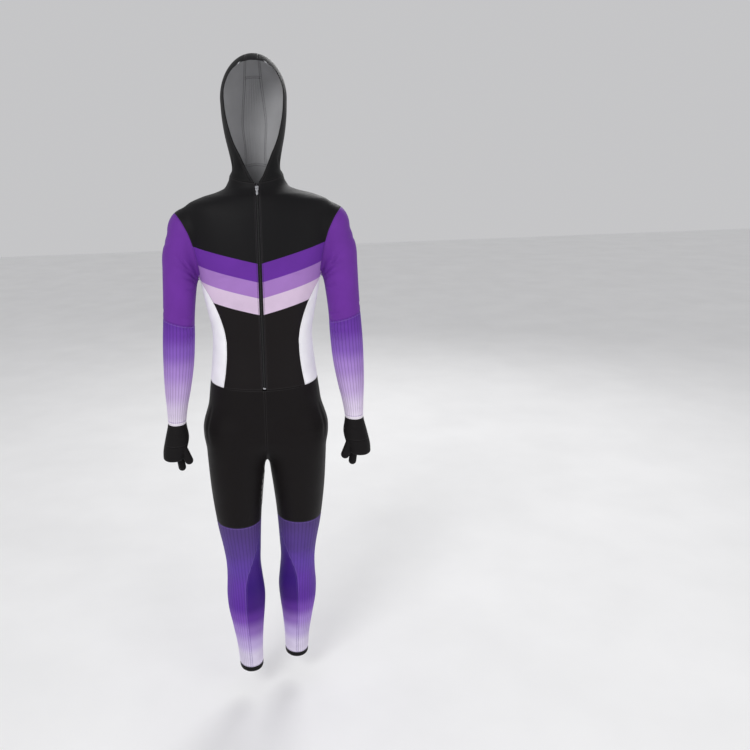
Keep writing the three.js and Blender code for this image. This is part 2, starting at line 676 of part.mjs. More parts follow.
// A fingertip: a round-ended tube of cloth whose root stops just short of the palm
function fingerCup(root, tip, radius) {
  const axis = tip.clone().sub(root).normalize();
  const wide = point(1, 0, 0).addScaledVector(axis, -axis.x).normalize();
  const deep = axis.clone().cross(wide);
  const count = 10;
  const length = root.distanceTo(tip);
  const ringAt = (run, r) => Array.from({ length: count }, (_, k) => {
    const turn = (2 * PI * k) / count;
    return root.clone().addScaledVector(axis, run)
      .addScaledVector(wide, r * cos(turn)).addScaledVector(deep, r * sin(turn));
  });
  const shoulder = length - radius;
  const landed = ringAt(shoulder - 1, radius).map((p) => {
    const back = p.clone();
    while (figure(back) > ROOT_CLEARANCE && back.distanceTo(p) < length - 2 * radius) {
      back.addScaledVector(axis, -0.25);
    }
    return back;
  });
  const rings = [
    landed,
    ringAt(shoulder, radius * 0.96),
    ringAt(shoulder + radius * 0.6, radius * 0.7),
  ];
  return cup(rings, tip, axis);
}

// Face edge and back strip of the hood
const faceEdge = (side, z) => {
  const { half } = FACE.read(z);
  const { y } = FACE_FRONT.read(z);
  return cast(point(side * half * 0.3, y * 0.3 + 4, z), point(side * half * 0.7, y * 0.7 - 4, 0));
};
const HOOD_CENTRE = point(0, -4, 205);
const stripPoint = (side, rise, part = 1) => {
  const { half } = STRIP.read(rise);
  const middle = cast(HOOD_CENTRE, point(0, cos(rise * DEG), sin(rise * DEG)));
  const reach = middle.distanceTo(HOOD_CENTRE);
  return cast(HOOD_CENTRE, point(side * part * half, reach * cos(rise * DEG), reach * sin(rise * DEG)));
};
const HOOD_FRONT_SHARES = steps(FRONT_COLUMNS).map((share) => share * 0.58);
const STRIP_COLUMN = 4;
const HOOD_BACK_SHARES = NECK_BACK_TURNS.slice(1, STRIP_COLUMN + 1)
  .map((turn) => 0.58 + (0.42 * (turn - 90)) / 65);
const HOOD_SHARES = [...HOOD_FRONT_SHARES, ...HOOD_BACK_SHARES];
const BINDING = 6;
const STRIP_PARTS = [1, 0.5, 0, -0.5, -1];

// Hood side: from the face edge to the back strip, and from the neck seam up over the crown
function hoodGrid(side) {
  const turns = steps(FRONT_COLUMNS).map((share) => lerp(zipTurn(CHEST_TOP), 90, share));
  const foot = [turns[0], turns[0] + 7, ...turns.slice(1), ...NECK_BACK_TURNS.slice(1, STRIP_COLUMN + 1)];
  const napeTurn = NECK_BACK_TURNS[STRIP_COLUMN];
  const nape = neckPoint(side, napeTurn);
  const napeRise = atan2(nape.z - HOOD_CENTRE.z, nape.y - HOOD_CENTRE.y) / DEG;
  const faceTop = 302;
  const stripTop = 120;
  return steps(HOOD_ROWS).map((share, i) => {
    if (i === 0) return foot.map((turn) => neckPoint(side, turn));
    const from = faceEdge(side, lerp(CHEST_TOP, faceTop, share));
    const to = stripPoint(side, lerp(napeRise, stripTop, share));
    const low = (from.z + to.z) / 2;
    const origin = point(0, lerp(0, -4, share), min(low, HOOD_CENTRE.z));
    const band = min(0.3, BINDING / from.distanceTo(to));
    return across(origin, from, to, [0, ...HOOD_SHARES.map((part) => lerp(band, 1, part))]);
  });
}

// Hood's back strip and crown, between the two hood sides
function stripGrid() {
  const nape = STRIP_PARTS.map((part) => neckPoint(part < 0 ? -1 : 1, 180 - 25 * abs(part)));
  const napeRise = atan2(nape[0].z - HOOD_CENTRE.z, nape[0].y - HOOD_CENTRE.y) / DEG;
  return steps(HOOD_ROWS).map((share, i) => {
    if (i === 0) return nape;
    const rise = lerp(napeRise, 120, share);
    return STRIP_PARTS.map((part) => stripPoint(1, rise, part));
  });
}

const zipPoint = (z) => cast(point(0, 0, z), point(0, -1, 0));

// Zip tape on one side, a narrow strip beside the front's edge
const ZIP_ROWS = 35;
const tapeGrid = (side) => steps(ZIP_ROWS).map((share) => {
  const z = lerp(ZIP_FOOT, CHEST_TOP - 1, share);
  return [TAPE_GAP / 2, TAPE_HALF].map((x) => cast(point(side * x, 0, z), point(0, -1, 0)));
});

// A block with its long edges rounded, for the zip's metal parts
function plate(width, length, thickness, radius) {
  const shape = new THREE.Shape();
  const [w, l] = [width / 2, length / 2];
  shape.moveTo(-w + radius, -l);
  shape.lineTo(w - radius, -l);
  shape.absarc(w - radius, -l + radius, radius, -PI / 2, 0, false);
  shape.absarc(w - radius, l - radius, radius, 0, PI / 2, false);
  shape.absarc(-w + radius, l - radius, radius, PI / 2, PI, false);
  shape.absarc(-w + radius, -l + radius, radius, PI, 1.5 * PI, false);
  return new THREE.ExtrudeGeometry(shape, { depth: thickness, bevelEnabled: false, curveSegments: 3 });
}

const SIDES = [["right", -1], ["left", 1]];
const trunk = Object.fromEntries(SIDES.map(([name, side]) => [name, trunkSeams(side)]));

for (const [name, side] of SIDES) {
  const seams = trunk[name];
  add(`front_${name}`, wall(frontGrid(side, seams)), BLACK);
  add(`side_panel_${name}`, wall(sideGrid(side, seams)), WHITE);
  add(`back_side_${name}`, wall(backSideGrid(side, seams)), RIBBED);
  add(`shorts_front_${name}`, wall(shortsGrid(side, true)), BLACK);
  add(`shorts_back_${name}`, wall(shortsGrid(side, false)), BLACK);

  const calf = legGrid(side, THIGH_SEAM, HEM_TOP, CALF_ROWS);
  add(`leg_inner_${name}`, wall(wrap(calf, INNER_FROM, INNER_TO)), DUSK);
  add(`leg_outer_${name}`, wall(wrap(calf, INNER_TO, LEG_COLUMNS + INNER_FROM)), VIOLET);
  const hem = legGrid(side, HEM_TOP, HEM, 1);
  add(`leg_hem_${name}`, wall(wrap(hem, INNER_TO, LEG_COLUMNS + INNER_TO)), BLACK);

  const sleeveSeam = 13;
  const seamed = (grid) => wrap(grid, sleeveSeam, RING + sleeveSeam);
  add(`sleeve_${name}`, wall(seamed(sleeveGrid(side, seams.ring))), PURPLE);
  const forearm = armGrid(side, ELBOW_MIDDLE, CUFF_TOP, FOREARM_ROWS, ELBOW_LEAN);
  add(`forearm_${name}`, wall(seamed(forearm)), VIOLET);
  add(`cuff_${name}`, wall(seamed(armGrid(side, CUFF_TOP, CUFF, 1))), WHITE);
  add(`glove_palm_${name}`, wall(seamed(armGrid(side, CUFF, KNUCKLES, 3))), BLACK);

  const handAxis = armAxis(side, KNUCKLES - SEAM);
  const knuckleRings = [0, 0.35, 0.7, 1.1].map((drop) => steps(RING).slice(0, -1).map((share) => {
    const turn = 2 * PI * share;
    return cast(handAxis, armRay(side, turn).multiplyScalar(cos(drop)).add(point(0, 0, -sin(drop))));
  }));
  const down = point(0, 0, -1);
  const handTip = cast(handAxis, down);
  const ordered = side > 0 ? knuckleRings.map((ring) => [...ring].reverse()) : knuckleRings;
  add(`glove_fingers_${name}`, cup(ordered, handTip, down), BLACK);
  const thumb = fingerCup(point(side * 236, -88, -640), point(side * 207, -98, -708), 11.5);
  add(`glove_thumb_${name}`, thumb, BLACK);
  const finger = fingerCup(point(side * 241, -72, -672), point(side * 233, -69, -738), 10.5);
  add(`glove_finger_${name}`, finger, BLACK);

  const hood = hoodGrid(side);
  add(`hood_side_${name}`, wall(slice(hood, 1, hood[0].length - 1)), BLACK);
  add(`hood_binding_${name}`, wall(slice(hood, 0, 1)), BLACK);
  add(`zip_tape_${name}`, wall(tapeGrid(side), TAPE_CLOTH), BLACK);
}

add("back_centre", wall(backGrid(trunk.left, trunk.right)), BLACK);

const strip = stripGrid();
const crownRow = Math.round((HOOD_ROWS * (CROWN_RISE + 62)) / 182);
add("hood_back", wall(strip.slice(0, crownRow + 1)), RIBBED);
add("hood_crown", wall(strip.slice(crownRow)), BLACK);

// Inner-thigh patch on the right leg, a strip with a rounded foot moved out from the shorts' own
// points: how far down the thigh's rows it is, and between which of the ring's columns it lies
const PATCH = sections("row from to", [
  [7.9, 7.1, 9.7], [9, 7, 9.8], [10.1, 7.1, 9.7], [10.7, 7.5, 9.4], [10.95, 8.1, 8.9],
]);
const PATCH_CLOTH = 0.9;
const thigh = {
  front: shortsGrid(-1, true),
  back: shortsGrid(-1, false),
};
const thighRing = thigh.front.map((row, i) => [...row, ...thigh.back[i].slice(0, -1).reverse()]);
// A point of a grid at a fractional row and column
function within(grid, row, column) {
  const [i, j] = [Math.floor(row), Math.floor(column)];
  const upper = grid[i][j].clone().lerp(grid[i][j + 1], column - j);
  const lower = grid[i + 1][j].clone().lerp(grid[i + 1][j + 1], column - j);
  return upper.lerp(lower, row - i);
}
const patchGrid = steps(7).map((share) => {
  const row = lerp(PATCH.first, PATCH.last, share);
  const span = PATCH.read(row);
  return steps(6).map((part) => within(thighRing, row, lerp(span.from, span.to, part)));
});
add("thigh_patch_right", wall(patchGrid, PATCH_CLOTH, PATCH_CLOTH + SEAM + 0.5), WHITE);

// Slider and pull, in a frame laid on the chord of the chest under them: Y up the zip, Z outwards
const PULL = { width: 5.5, length: 22, thickness: 1.4 };
const SLIDER = { width: 9, length: 12, thickness: 3 };
const CLEAR = 0.5;
const zipTop = zipPoint(14);
const zipLow = zipPoint(-22);
const upZip = zipTop.clone().sub(zipLow);
const chord = upZip.length();
upZip.normalize();
const outZip = point(1, 0, 0).cross(upZip);
const bulge = max(...steps(9).map((share) => zipPoint(lerp(14, -22, share)).sub(zipLow).dot(outZip)));
const zipFrame = new THREE.Group();
zipFrame.position.copy(zipLow)
  .addScaledVector(upZip, chord - SLIDER.length / 2 - 1)
  .addScaledVector(outZip, bulge);
zipFrame.rotation.x = atan2(upZip.z, upZip.y);
suit.add(zipFrame);
const sliderBlock = plate(SLIDER.width, SLIDER.length, SLIDER.thickness, 2);
const slider = add("zip_slider", sliderBlock, GREY, 0.9, zipFrame);
slider.position.z = CLEAR;
const pull = add("zip_pull", plate(PULL.width, PULL.length, PULL.thickness, 1.2), GREY, 0.9, zipFrame);
pull.position.set(0, 2 - PULL.length / 2, 2 * CLEAR + SLIDER.thickness);

const footStop = zipPoint(ZIP_FOOT + 3);
const stop = add("zip_stop", plate(7, 4, 1.6, 0.8), GREY, 0.9);
stop.position.copy(footStop).addScaledVector(outward(footStop), CLEAR);
stop.rotation.x = PI / 2 - asin(outward(footStop).z);

export default suit;
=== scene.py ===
"""Looks of a hooded one-piece speed skating suit, in the hollow form that it has when worn.

Shapes are worked out in millimetres, +Z up, front facing -Y, +X towards the wearer's left, and are
turned to metres when a mesh is made. Every panel of cloth is a grid of points on one general figure,
with its creases pressed in, and a thin shell is made of it.
"""

import math

import bpy
import numpy as np
from mathutils import Matrix, Vector


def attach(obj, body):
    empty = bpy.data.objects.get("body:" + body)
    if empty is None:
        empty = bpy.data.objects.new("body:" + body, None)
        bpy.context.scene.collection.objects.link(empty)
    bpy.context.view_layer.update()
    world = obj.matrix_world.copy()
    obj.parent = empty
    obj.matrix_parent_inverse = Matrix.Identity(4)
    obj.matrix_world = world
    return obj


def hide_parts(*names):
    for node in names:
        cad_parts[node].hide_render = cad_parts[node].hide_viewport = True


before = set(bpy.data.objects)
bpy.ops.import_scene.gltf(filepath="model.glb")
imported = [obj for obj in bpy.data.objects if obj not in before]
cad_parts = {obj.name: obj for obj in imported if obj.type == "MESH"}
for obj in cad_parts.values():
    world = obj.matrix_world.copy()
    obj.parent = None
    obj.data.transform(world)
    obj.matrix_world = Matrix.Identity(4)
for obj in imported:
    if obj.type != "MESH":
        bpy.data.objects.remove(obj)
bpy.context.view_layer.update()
MM = 0.001
DEG = math.pi / 180
SIDES = (("right", -1), ("left", 1))
BODY = "suit"

# Heights of the main seams, and the sizes of the armhole, elbow and zip
CHEST_TOP = 22
HIP_FRONT = -506
CROTCH_CENTRE = -620
THIGH_SEAM = -912
HEM_TOP = -1385
HEM = -1400
HEM_STANCE = 64
HIP_JOINT = -600
CUFF_TOP = -594
CUFF = -600
KNUCKLES = -655
SHOULDER_TIP = np.array([220.0, 0.0, -45.0])
ARMPIT = np.array([165.0, 0.0, -206.0])
ARMHOLE_CENTRE = np.array([193.0, 4.0, -118.0])
ELBOW = {"inner": -346, "outer": -322}
TAPE_HALF = 5.4
TAPE_GAP = 0.9
ZIP_FOOT = -503


class Curves:
    """Named columns read as smooth curves against the first one.

    Between two rows a value follows the cubic that meets both, and whose slope at a row is the
    slope between that row's two neighbours.
    """

    def __init__(self, columns, rows):
        self.rows = np.array(sorted(rows), float)
        self.places = self.rows[:, 0]
        self.columns = {name: i for i, name in enumerate(columns.split())}
        before = np.vstack([self.rows[:1], self.rows[:-1]])
        after = np.vstack([self.rows[1:], self.rows[-1:]])
        self.slopes = (after - before) / (after[:, :1] - before[:, :1])

    def read(self, place, *names):
        at = np.clip(place, self.places[0], self.places[-1])
        i = np.clip(np.searchsorted(self.places, at, side="right") - 1, 0, len(self.places) - 2)
        span = self.places[i + 1] - self.places[i]
        t = (at - self.places[i]) / span
        rest = 1 - t
        near, leaving = (1 + 2 * t) * rest * rest, t * rest * rest * span
        reached, arriving = t * t * (3 - 2 * t), -t * t * rest * span
        found = []
        for c in (self.columns[name] for name in names):
            here = self.rows[i, c] * near + self.slopes[i, c] * leaving
            found.append(here + self.rows[i + 1, c] * reached + self.slopes[i + 1, c] * arriving)
        return found if len(found) > 1 else found[0]


# Half widths, and depths in front of and behind the middle, of the figure's level sections
TORSO = Curves("z half front back x y power", [
    (34, 63, 55, 60, 0, 2, 2.0), (13, 77, 60, 68, 0, 0, 2.0), (0, 106, 68, 76, 0, -3, 2.0),
    (-9, 140, 74, 80, 0, -6, 2.0), (-26, 179, 82, 85, 0, -7, 2.1), (-58, 187, 96, 94, 0, -4, 2.2),
    (-120, 183, 110, 103, 0, 0, 2.3), (-195, 163, 117, 106, 0, 0, 2.4), (-257, 153, 115, 103, 0, 0, 2.4),
    (-322, 141, 106, 96, 0, 0, 2.3), (-366, 134, 99, 93, 0, 0, 2.3), (-411, 136, 98, 95, 0, 0, 2.3),
    (-456, 141, 102, 102, 0, 0, 2.3), (-502, 147, 107, 110, 0, 0, 2.3), (-548, 153, 106, 118, 0, 0, 2.3),
    (-595, 158, 100, 123, 0, 0, 2.3), (-650, 157, 86, 112, 0, 0, 2.2),
])
HEAD = Curves("z half front back x y power", [
    (222, 83, 94, 96, 0, -8, 2.1), (180, 81, 93, 92, 0, -8, 2.1), (140, 76, 86, 82, 0, -6, 2.1),
    (110, 70, 76, 74, 0, -3, 2.1), (82, 64, 66, 66, 0, 0, 2.0), (60, 61, 60, 62, 0, 2, 2.0),
    (34, 62, 56, 60, 0, 2, 2.0), (0, 64, 56, 62, 0, 2, 2.0),
])
ARM = Curves("z half front back x y power", [
    (-97, 51, 58, 58, 187, 0, 2.0), (-150, 51, 54, 54, 204, 3, 2.0), (-195, 48, 52, 52, 210, 2, 2.0),
    (-257, 44.5, 49, 49, 216.5, 0, 2.0), (-320, 42.5, 45, 45, 222, -4, 2.0),
    (-388, 43, 44, 43, 226, -14, 2.0), (-448, 41, 41, 41, 229, -29, 2.0), (-511, 35, 36, 36, 234, -44, 2.0),
    (-560, 28, 31, 31, 238, -55, 2.0), (-600, 25, 30, 30, 240, -64, 2.0), (-640, 32, 38, 36, 242, -71, 2.1),
    (-672, 32, 42, 38, 249, -75, 2.2), (-690, 29, 40, 36, 253, -77, 2.3),
])
LEG = Curves("z half front back x y power", [
    (-640, 82, 92, 104, 86, -2, 2.1), (-690, 82, 92, 100, 86, -2, 2.1), (-743, 80, 88, 92, 86, -2, 2.1),
    (-816, 74, 82, 83, 88, -2, 2.0), (-884, 67, 76, 75, 88, -3, 2.0), (-941, 61, 70, 67, 86, -4, 2.0),
    (-1000, 54, 64, 59, 82, -5, 2.0), (-1050, 50, 60, 56, 80, -4, 2.0), (-1100, 52, 55, 61, 78, 0, 2.0),
    (-1155, 56, 52, 67, 77, 4, 2.0), (-1200, 54, 49, 65, 77, 6, 2.0), (-1260, 46, 45, 54, 75, 7, 2.0),
    (-1330, 38, 42, 43, 72, 8, 2.0), (-1400, 35, 41, 41, 70, 9, 2.0),
])
BLEND = {"neck": 30, "armpit": 18, "hip": 44, "crotch": 10}
DOME = {"torso": (20, 66), "head": (106, 40), "arm": (61, 12), "leg": (60, 60)}

# Seams: turns are about the upright axis, 0 at the front and 180 at the back
NECK_SEAM = Curves("turn z", [(0, 22), (45, 30), (90, 45), (135, 58), (180, 66)])
HIP_SEAM = Curves("turn z", [
    (0, -506), (54, -502), (80, -497), (105, -499), (122, -518), (140, -545), (160, -580), (180, -598),
])
SIDE_PANEL = Curves("z front back", [
    (-206, 86, 94), (-232, 72, 99), (-270, 60, 103), (-320, 54, 106), (-371, 52, 108), (-450, 52, 108),
    (-510, 54, 105),
])
BACK_SEAM = Curves("z turn", [
    (-88, 108), (-113, 122), (-172, 132), (-241, 138), (-304, 141), (-367, 142), (-430, 141.5),
    (-493, 140.5), (-548, 140),
])
FACE = Curves("z half", [
    (22, 5.6), (41, 17), (58, 29), (77, 41), (96, 51), (115, 60), (152, 68), (196, 72.5), (244, 69),
    (280, 52), (302, 27),
])
FACE_FRONT = Curves("z y", [
    (22, -58), (58, -62), (96, -70), (152, -66), (196, -58), (244, -52), (302, -52),
])
STRIP = Curves("rise half", [(-62, 25), (-30, 33), (0, 30), (40, 22), (90, 17), (122, 15)])
NECK_BACK_TURNS = np.array([90, 100, 112, 134, 155, 167.5, 180])
CROWN_RISE = 42


def points(x, y, z):
    """One array of points from three arrays or numbers."""
    return np.stack(np.broadcast_arrays(np.asarray(x, float), y, z), axis=-1)


def lerp(a, b, share):
    return a + (b - a) * share


def steps(count):
    return np.arange(count + 1) / count


def length(v):
    return np.sqrt((v * v).sum(axis=-1))


def unit(v):
    return v / np.maximum(length(v), 1e-9)[..., None]


def stance(side, z):
    """How far a leg stands forward or back at a height: the right one forward, the left one back."""
    return side * HEM_STANCE * 0.5 * np.maximum(0, (HIP_JOINT - z) / (HIP_JOINT - HEM))


def stack(table, dome, side=1, leans=False):
    """Distance to a stack of level sections with rounded ends.

    A section is a superellipse. The distance is measured along the line from the stack's axis:
    the point's reach, less the reach of the surface in that direction.
    """
    crown, foot = dome

    def distance(p):
        x, y, z = p[..., 0], p[..., 1], p[..., 2]
        half, front, back, cx, cy, power = table.read(z, "half", "front", "back", "x", "y", "power")
        dx = x - side * cx
        dy = y - cy - (stance(side, z) if leans else 0)
        ratio = np.abs(dy) / np.where(dy < 0, front, back)
        level = ((np.abs(dx) / half) ** power + ratio ** power) ** (1 / power)
        above = np.maximum(0, z - table.places[-1])
        below = np.maximum(0, table.places[0] - z)
        rho = np.maximum(np.sqrt(level ** 2 + (above / crown) ** 2 + (below / foot) ** 2), 1e-4)
        reach = np.sqrt(dx * dx + dy * dy + above * above + below * below)
        return np.maximum(reach, 0.01) * (1 - 1 / rho)

    return distance


def joined(a, b, width):
    """Union of two distances, rounded where they meet."""
    near = np.maximum(width - np.abs(a - b), 0) / width
    return np.minimum(a, b) - near * near * width * 0.25


torso = stack(TORSO, DOME["torso"])
head = stack(HEAD, DOME["head"])
arms = [stack(ARM, DOME["arm"], side) for side in (-1, 1)]
legs = [stack(LEG, DOME["leg"], side, True) for side in (-1, 1)]


def figure(p):
    """Distance outside the general figure that the suit is shaped on."""
    trunk = joined(torso(p), joined(legs[0](p), legs[1](p), BLEND["crotch"]), BLEND["hip"])
    armed = joined(trunk, np.minimum(arms[0](p), arms[1](p)), BLEND["armpit"])
    return joined(armed, head(p), BLEND["neck"])


ARMHOLE_UP = unit(SHOULDER_TIP - ARMPIT)
ARM_GAP = {"trunk": 176, "arm": 158, "front": 40}
FRONT_SLACK = 26
ARMHOLE_BOW = {"lean": 0.34, "power": 1.6}


def past_armhole(p):
    return ARMHOLE_UP[2] * (np.abs(p[..., 0]) - ARMPIT[0]) - ARMHOLE_UP[0] * (p[..., 2] - ARMPIT[2])


def trunk_only(p):
    gap = np.abs(p[..., 0]) - ARM_GAP["trunk"]
    return np.maximum(figure(p), np.where(p[..., 2] > ARMPIT[2], past_armhole(p), gap))


def above_armpit(p):
    return np.maximum(figure(p), ARMPIT[2] - p[..., 2])


def arm_only(p):
    """The sleeve's own region, which reaches further in at the front, where the armhole curves in."""
    gap = ARM_GAP["arm"] - np.abs(p[..., 0])
    slack = FRONT_SLACK * np.clip(-p[..., 1] / ARM_GAP["front"], 0, 1)
    return np.maximum(figure(p), np.where(p[..., 2] > ARMPIT[2], -past_armhole(p) - slack, gap))


def one_leg(side):
    return lambda p: np.maximum(figure(p), -side * p[..., 0])


RAY_STEP = 8.0
RAY_REACH = 400.0
HALVINGS = 14


def cast(start, way, solid=figure):
    """Where rays leave a solid that they start in: even strides out, then halved to the surface."""
    start, way = np.broadcast_arrays(np.asarray(start, float), unit(np.asarray(way, float)))
    near = np.zeros(start.shape[:-1])
    far = np.full_like(near, RAY_STEP)
    out = solid(start + way * far[..., None]) >= 0
    while not out.all() and far.max() < RAY_REACH:
        near = np.where(out, near, far)
        far = np.where(out, far, far + RAY_STEP)
        out = out | (solid(start + way * far[..., None]) >= 0)
    for _ in range(HALVINGS):
        middle = (near + far) / 2
        inside = solid(start + way * middle[..., None]) < 0
        near = np.where(inside, middle, near)
        far = np.where(inside, far, middle)
    return start + way * ((near + far) / 2)[..., None]


def gradient(p, here=None):
    """Slope of the distance at each point, from small steps along X, Y and Z."""
    e = 0.8
    base = figure(p) if here is None else here
    return np.stack([(figure(p + e * axis) - base) / e for axis in np.eye(3)], axis=-1)


SETTLE_STEP = 0.9


def settle(p, rounds=3):
    """Moves points that lie near the figure onto it by short steps down the slope of the distance."""
    for _ in range(rounds):
        gap = figure(p)
        slope = gradient(p, gap)
        step = np.clip(gap / np.maximum(length(slope), 0.3), -SETTLE_STEP, SETTLE_STEP)
        p = p - unit(slope) * step[..., None]
    return p


def facing(side, turn):
    """Level direction at a turn about the upright axis, on one side of the suit."""
    return points(side * np.sin(turn * DEG), -np.cos(turn * DEG), 0)


def row_between(origin, start, end, shares, side, way, solid, dip=0.0):
    """Rows of points between two edges: rays whose turn and rise pass evenly from one to the other.

    The turn goes round by the front for way 1 and by the back for way -1, and a dip lowers the
    origin under the middle of the row.
    """
    def turn(p):
        found = np.arctan2(-way * (p[:, 1] - origin[:, 1]), side * (p[:, 0] - origin[:, 0]))
        return np.where(found < -math.pi / 2, found + 2 * math.pi, found)[:, None]

    def rise(p):
        off = p - origin
        return np.arctan2(off[:, 2], np.hypot(off[:, 0], off[:, 1]))[:, None]

    turns = lerp(turn(start), turn(end), shares)
    rises = lerp(rise(start), rise(end), shares)
    flat = np.cos(rises)
    rays = points(side * np.cos(turns) * flat, -way * np.sin(turns) * flat, np.sin(rises))
    sunk = np.reshape(dip, (-1, 1)) * 4 * shares * (1 - shares)
    grid = cast(origin[:, None] - points(0, 0, sunk), rays, solid)
    grid[:, 0], grid[:, -1] = start, end
    return grid


def across(origin, start, end, shares):
    """Rows of points along the great circle between two directions from an origin."""
    a, b = unit(start - origin), unit(end - origin)
    whole = np.arccos(np.clip((a * b).sum(axis=-1), -1, 1))[:, None]
    from_start, from_end = (np.sin(part * whole)[..., None] for part in (1 - shares, shares))
    grid = cast(origin[:, None], from_start * a[:, None] + from_end * b[:, None])
    grid[:, 0], grid[:, -1] = start, end
    return grid


# Counts of rows and columns between neighbouring seams
LOWER_ROWS = 9
ARMHOLE_HALF = 8
ARMHOLE_BACK_LOW = 5
SHOULDER_ROWS = 4
FRONT_COLUMNS = 6
SIDE_COLUMNS = 4
BACK_SIDE_COLUMNS = 3
HOOD_ROWS = 15
CROTCH_ROWS = 7
THIGH_ROWS = 5
CALF_ROWS = 12
ARM_ROWS = 6
FOREARM_ROWS = 7
RING = 2 * ARMHOLE_HALF
SHOULDER_ORIGIN = np.array([[0, 0, -150.0]])
CHEST_ORIGIN = -115
BACK_DIP = 45
BACK_SEAM_TURN = 140


def neck_point(side, turn):
    return cast(points(0, 0, NECK_SEAM.read(turn, "z")), facing(side, turn))


def trunk_point(side, turn, z):
    return cast(points(0, 0, z), facing(side, turn), trunk_only)


def hip_point(side, turn):
    return trunk_point(side, turn, HIP_SEAM.read(turn, "z"))


def zip_point(z, x=0.0):
    """The figure's front straight ahead of a point on its axis, where the zip runs."""
    return cast(points(x, 0, z), points(0, -1, 0))


def zip_turn(z):
    return math.atan2(TAPE_HALF, -zip_point(z)[..., 1]) / DEG


def armhole(side):
    """Ring of points from the armpit forward to the tip and back down behind.

    The front half curves in from the armhole's plane towards the chest.
    """
    turn = 2 * math.pi * steps(RING)[:, None]
    mirror = np.array([side, 1, 1])
    rays = -np.cos(turn) * ARMHOLE_UP * mirror + np.sin(turn) * np.array([0, -1.0, 0])
    curve = np.maximum(0, np.sin(turn)) ** ARMHOLE_BOW["power"]
    rays = rays - curve * np.array([side * ARMHOLE_BOW["lean"], 0, 0])
    return cast(ARMHOLE_CENTRE * mirror, rays, above_armpit)


def trunk_seams(side):
    """Seams of one side's trunk, each a row of points from its foot to its top."""
    ring = armhole(side)
    tip, neck = ring[ARMHOLE_HALF][None], neck_point(side, 90.0)[None]
    shoulder = across(SHOULDER_ORIGIN, tip, neck, steps(SHOULDER_ROWS))[0]

    def edge(column):
        foot = SIDE_PANEL.read(HIP_FRONT, column)
        z = lerp(HIP_SEAM.read(foot, "z"), ARMPIT[2], steps(LOWER_ROWS))
        found = trunk_point(side, SIDE_PANEL.read(z, column), z)
        found[-1] = ring[0]
        return found

    back_top = RING - ARMHOLE_BACK_LOW
    z = lerp(HIP_SEAM.read(BACK_SEAM_TURN, "z"), ring[back_top, 2], steps(LOWER_ROWS + ARMHOLE_BACK_LOW))
    back_seam = trunk_point(side, BACK_SEAM.read(z, "turn"), z)
    back_seam[-1] = ring[back_top]
    return {"ring": ring, "shoulder": shoulder, "side_front": edge("front"), "side_back": edge("back"),
            "back_seam": back_seam, "back_top": back_top}


def front_grid(side, seams):
    """Front: from the side panel, armhole and shoulder seam to the zip, and from hip to neck."""
    outer = np.vstack([seams["side_front"], seams["ring"][1:ARMHOLE_HALF + 1], seams["shoulder"][1:]])
    chest = len(outer) - 1 - LOWER_ROWS
    z = np.hstack([lerp(HIP_FRONT, ARMPIT[2], steps(LOWER_ROWS)),
                   lerp(ARMPIT[2], CHEST_TOP, steps(chest)[1:])])
    shares = steps(FRONT_COLUMNS)
    origin = points(0, 0, np.minimum((outer[:, 2] + z) / 2, CHEST_ORIGIN))
    grid = row_between(origin, outer, zip_point(z, side * TAPE_HALF), shares, side, 1, trunk_only)
    grid[0] = hip_point(side, lerp(SIDE_PANEL.read(HIP_FRONT, "front"), zip_turn(z[0]), shares))
    grid[-1] = neck_point(side, lerp(90, zip_turn(z[-1]), shares))
    return grid


def side_grid(side, seams):
    """Side panel, which tapers up to a point at the armpit."""
    start, end = seams["side_front"], seams["side_back"]
    shares = steps(SIDE_COLUMNS)
    turns = [np.arctan2(np.abs(p[:, :1]), -p[:, 1:2]) / DEG for p in (start, end)]
    grid = cast(points(0, 0, start[:, 2:3]), facing(side, lerp(*turns, shares)), trunk_only)
    hip = SIDE_PANEL.read(HIP_FRONT, "front", "back")
    grid[:, 0], grid[:, -1] = start, end
    grid[0] = hip_point(side, lerp(hip[0], hip[1], shares))
    grid[-1] = seams["ring"][0]
    return grid


def back_side_grid(side, seams):
    """Back side panel, up to the point where the back seam meets the armhole."""
    low = seams["ring"][seams["back_top"]:RING][::-1]
    outer = np.vstack([seams["side_back"], low])
    shares = steps(BACK_SIDE_COLUMNS)
    origin = points(0, 0, (outer[:, 2] + seams["back_seam"][:, 2]) / 2)
    grid = row_between(origin, outer, seams["back_seam"], shares, side, -1, trunk_only)
    grid[0] = hip_point(side, lerp(SIDE_PANEL.read(HIP_FRONT, "back"), BACK_SEAM_TURN, shares))
    grid[-1] = outer[-1]
    return grid


def back_grid(left, right):
    """Back: one piece between the two back seams, armholes and shoulder seams."""
    def edge(seams):
        high = seams["ring"][ARMHOLE_HALF:seams["back_top"]][::-1]
        return np.vstack([seams["back_seam"], high, seams["shoulder"][1:]])

    half = (NECK_BACK_TURNS - 90) / 180
    shares = np.hstack([half, 1 - half[:-1][::-1]])
    start, end = edge(left), edge(right)
    dip = BACK_DIP * (1 - steps(len(start) - 1))
    origin = points(0, 0, np.minimum(start[:, 2], CHEST_ORIGIN))
    grid = row_between(origin, start, end, shares, 1, -1, trunk_only, dip)
    side = np.where(shares <= 0.5, 1, -1)
    part = np.minimum(shares, 1 - shares)
    grid[0] = hip_point(side, BACK_SEAM_TURN + 2 * (180 - BACK_SEAM_TURN) * part)
    grid[-1] = neck_point(side, 90 + 180 * part)
    return grid


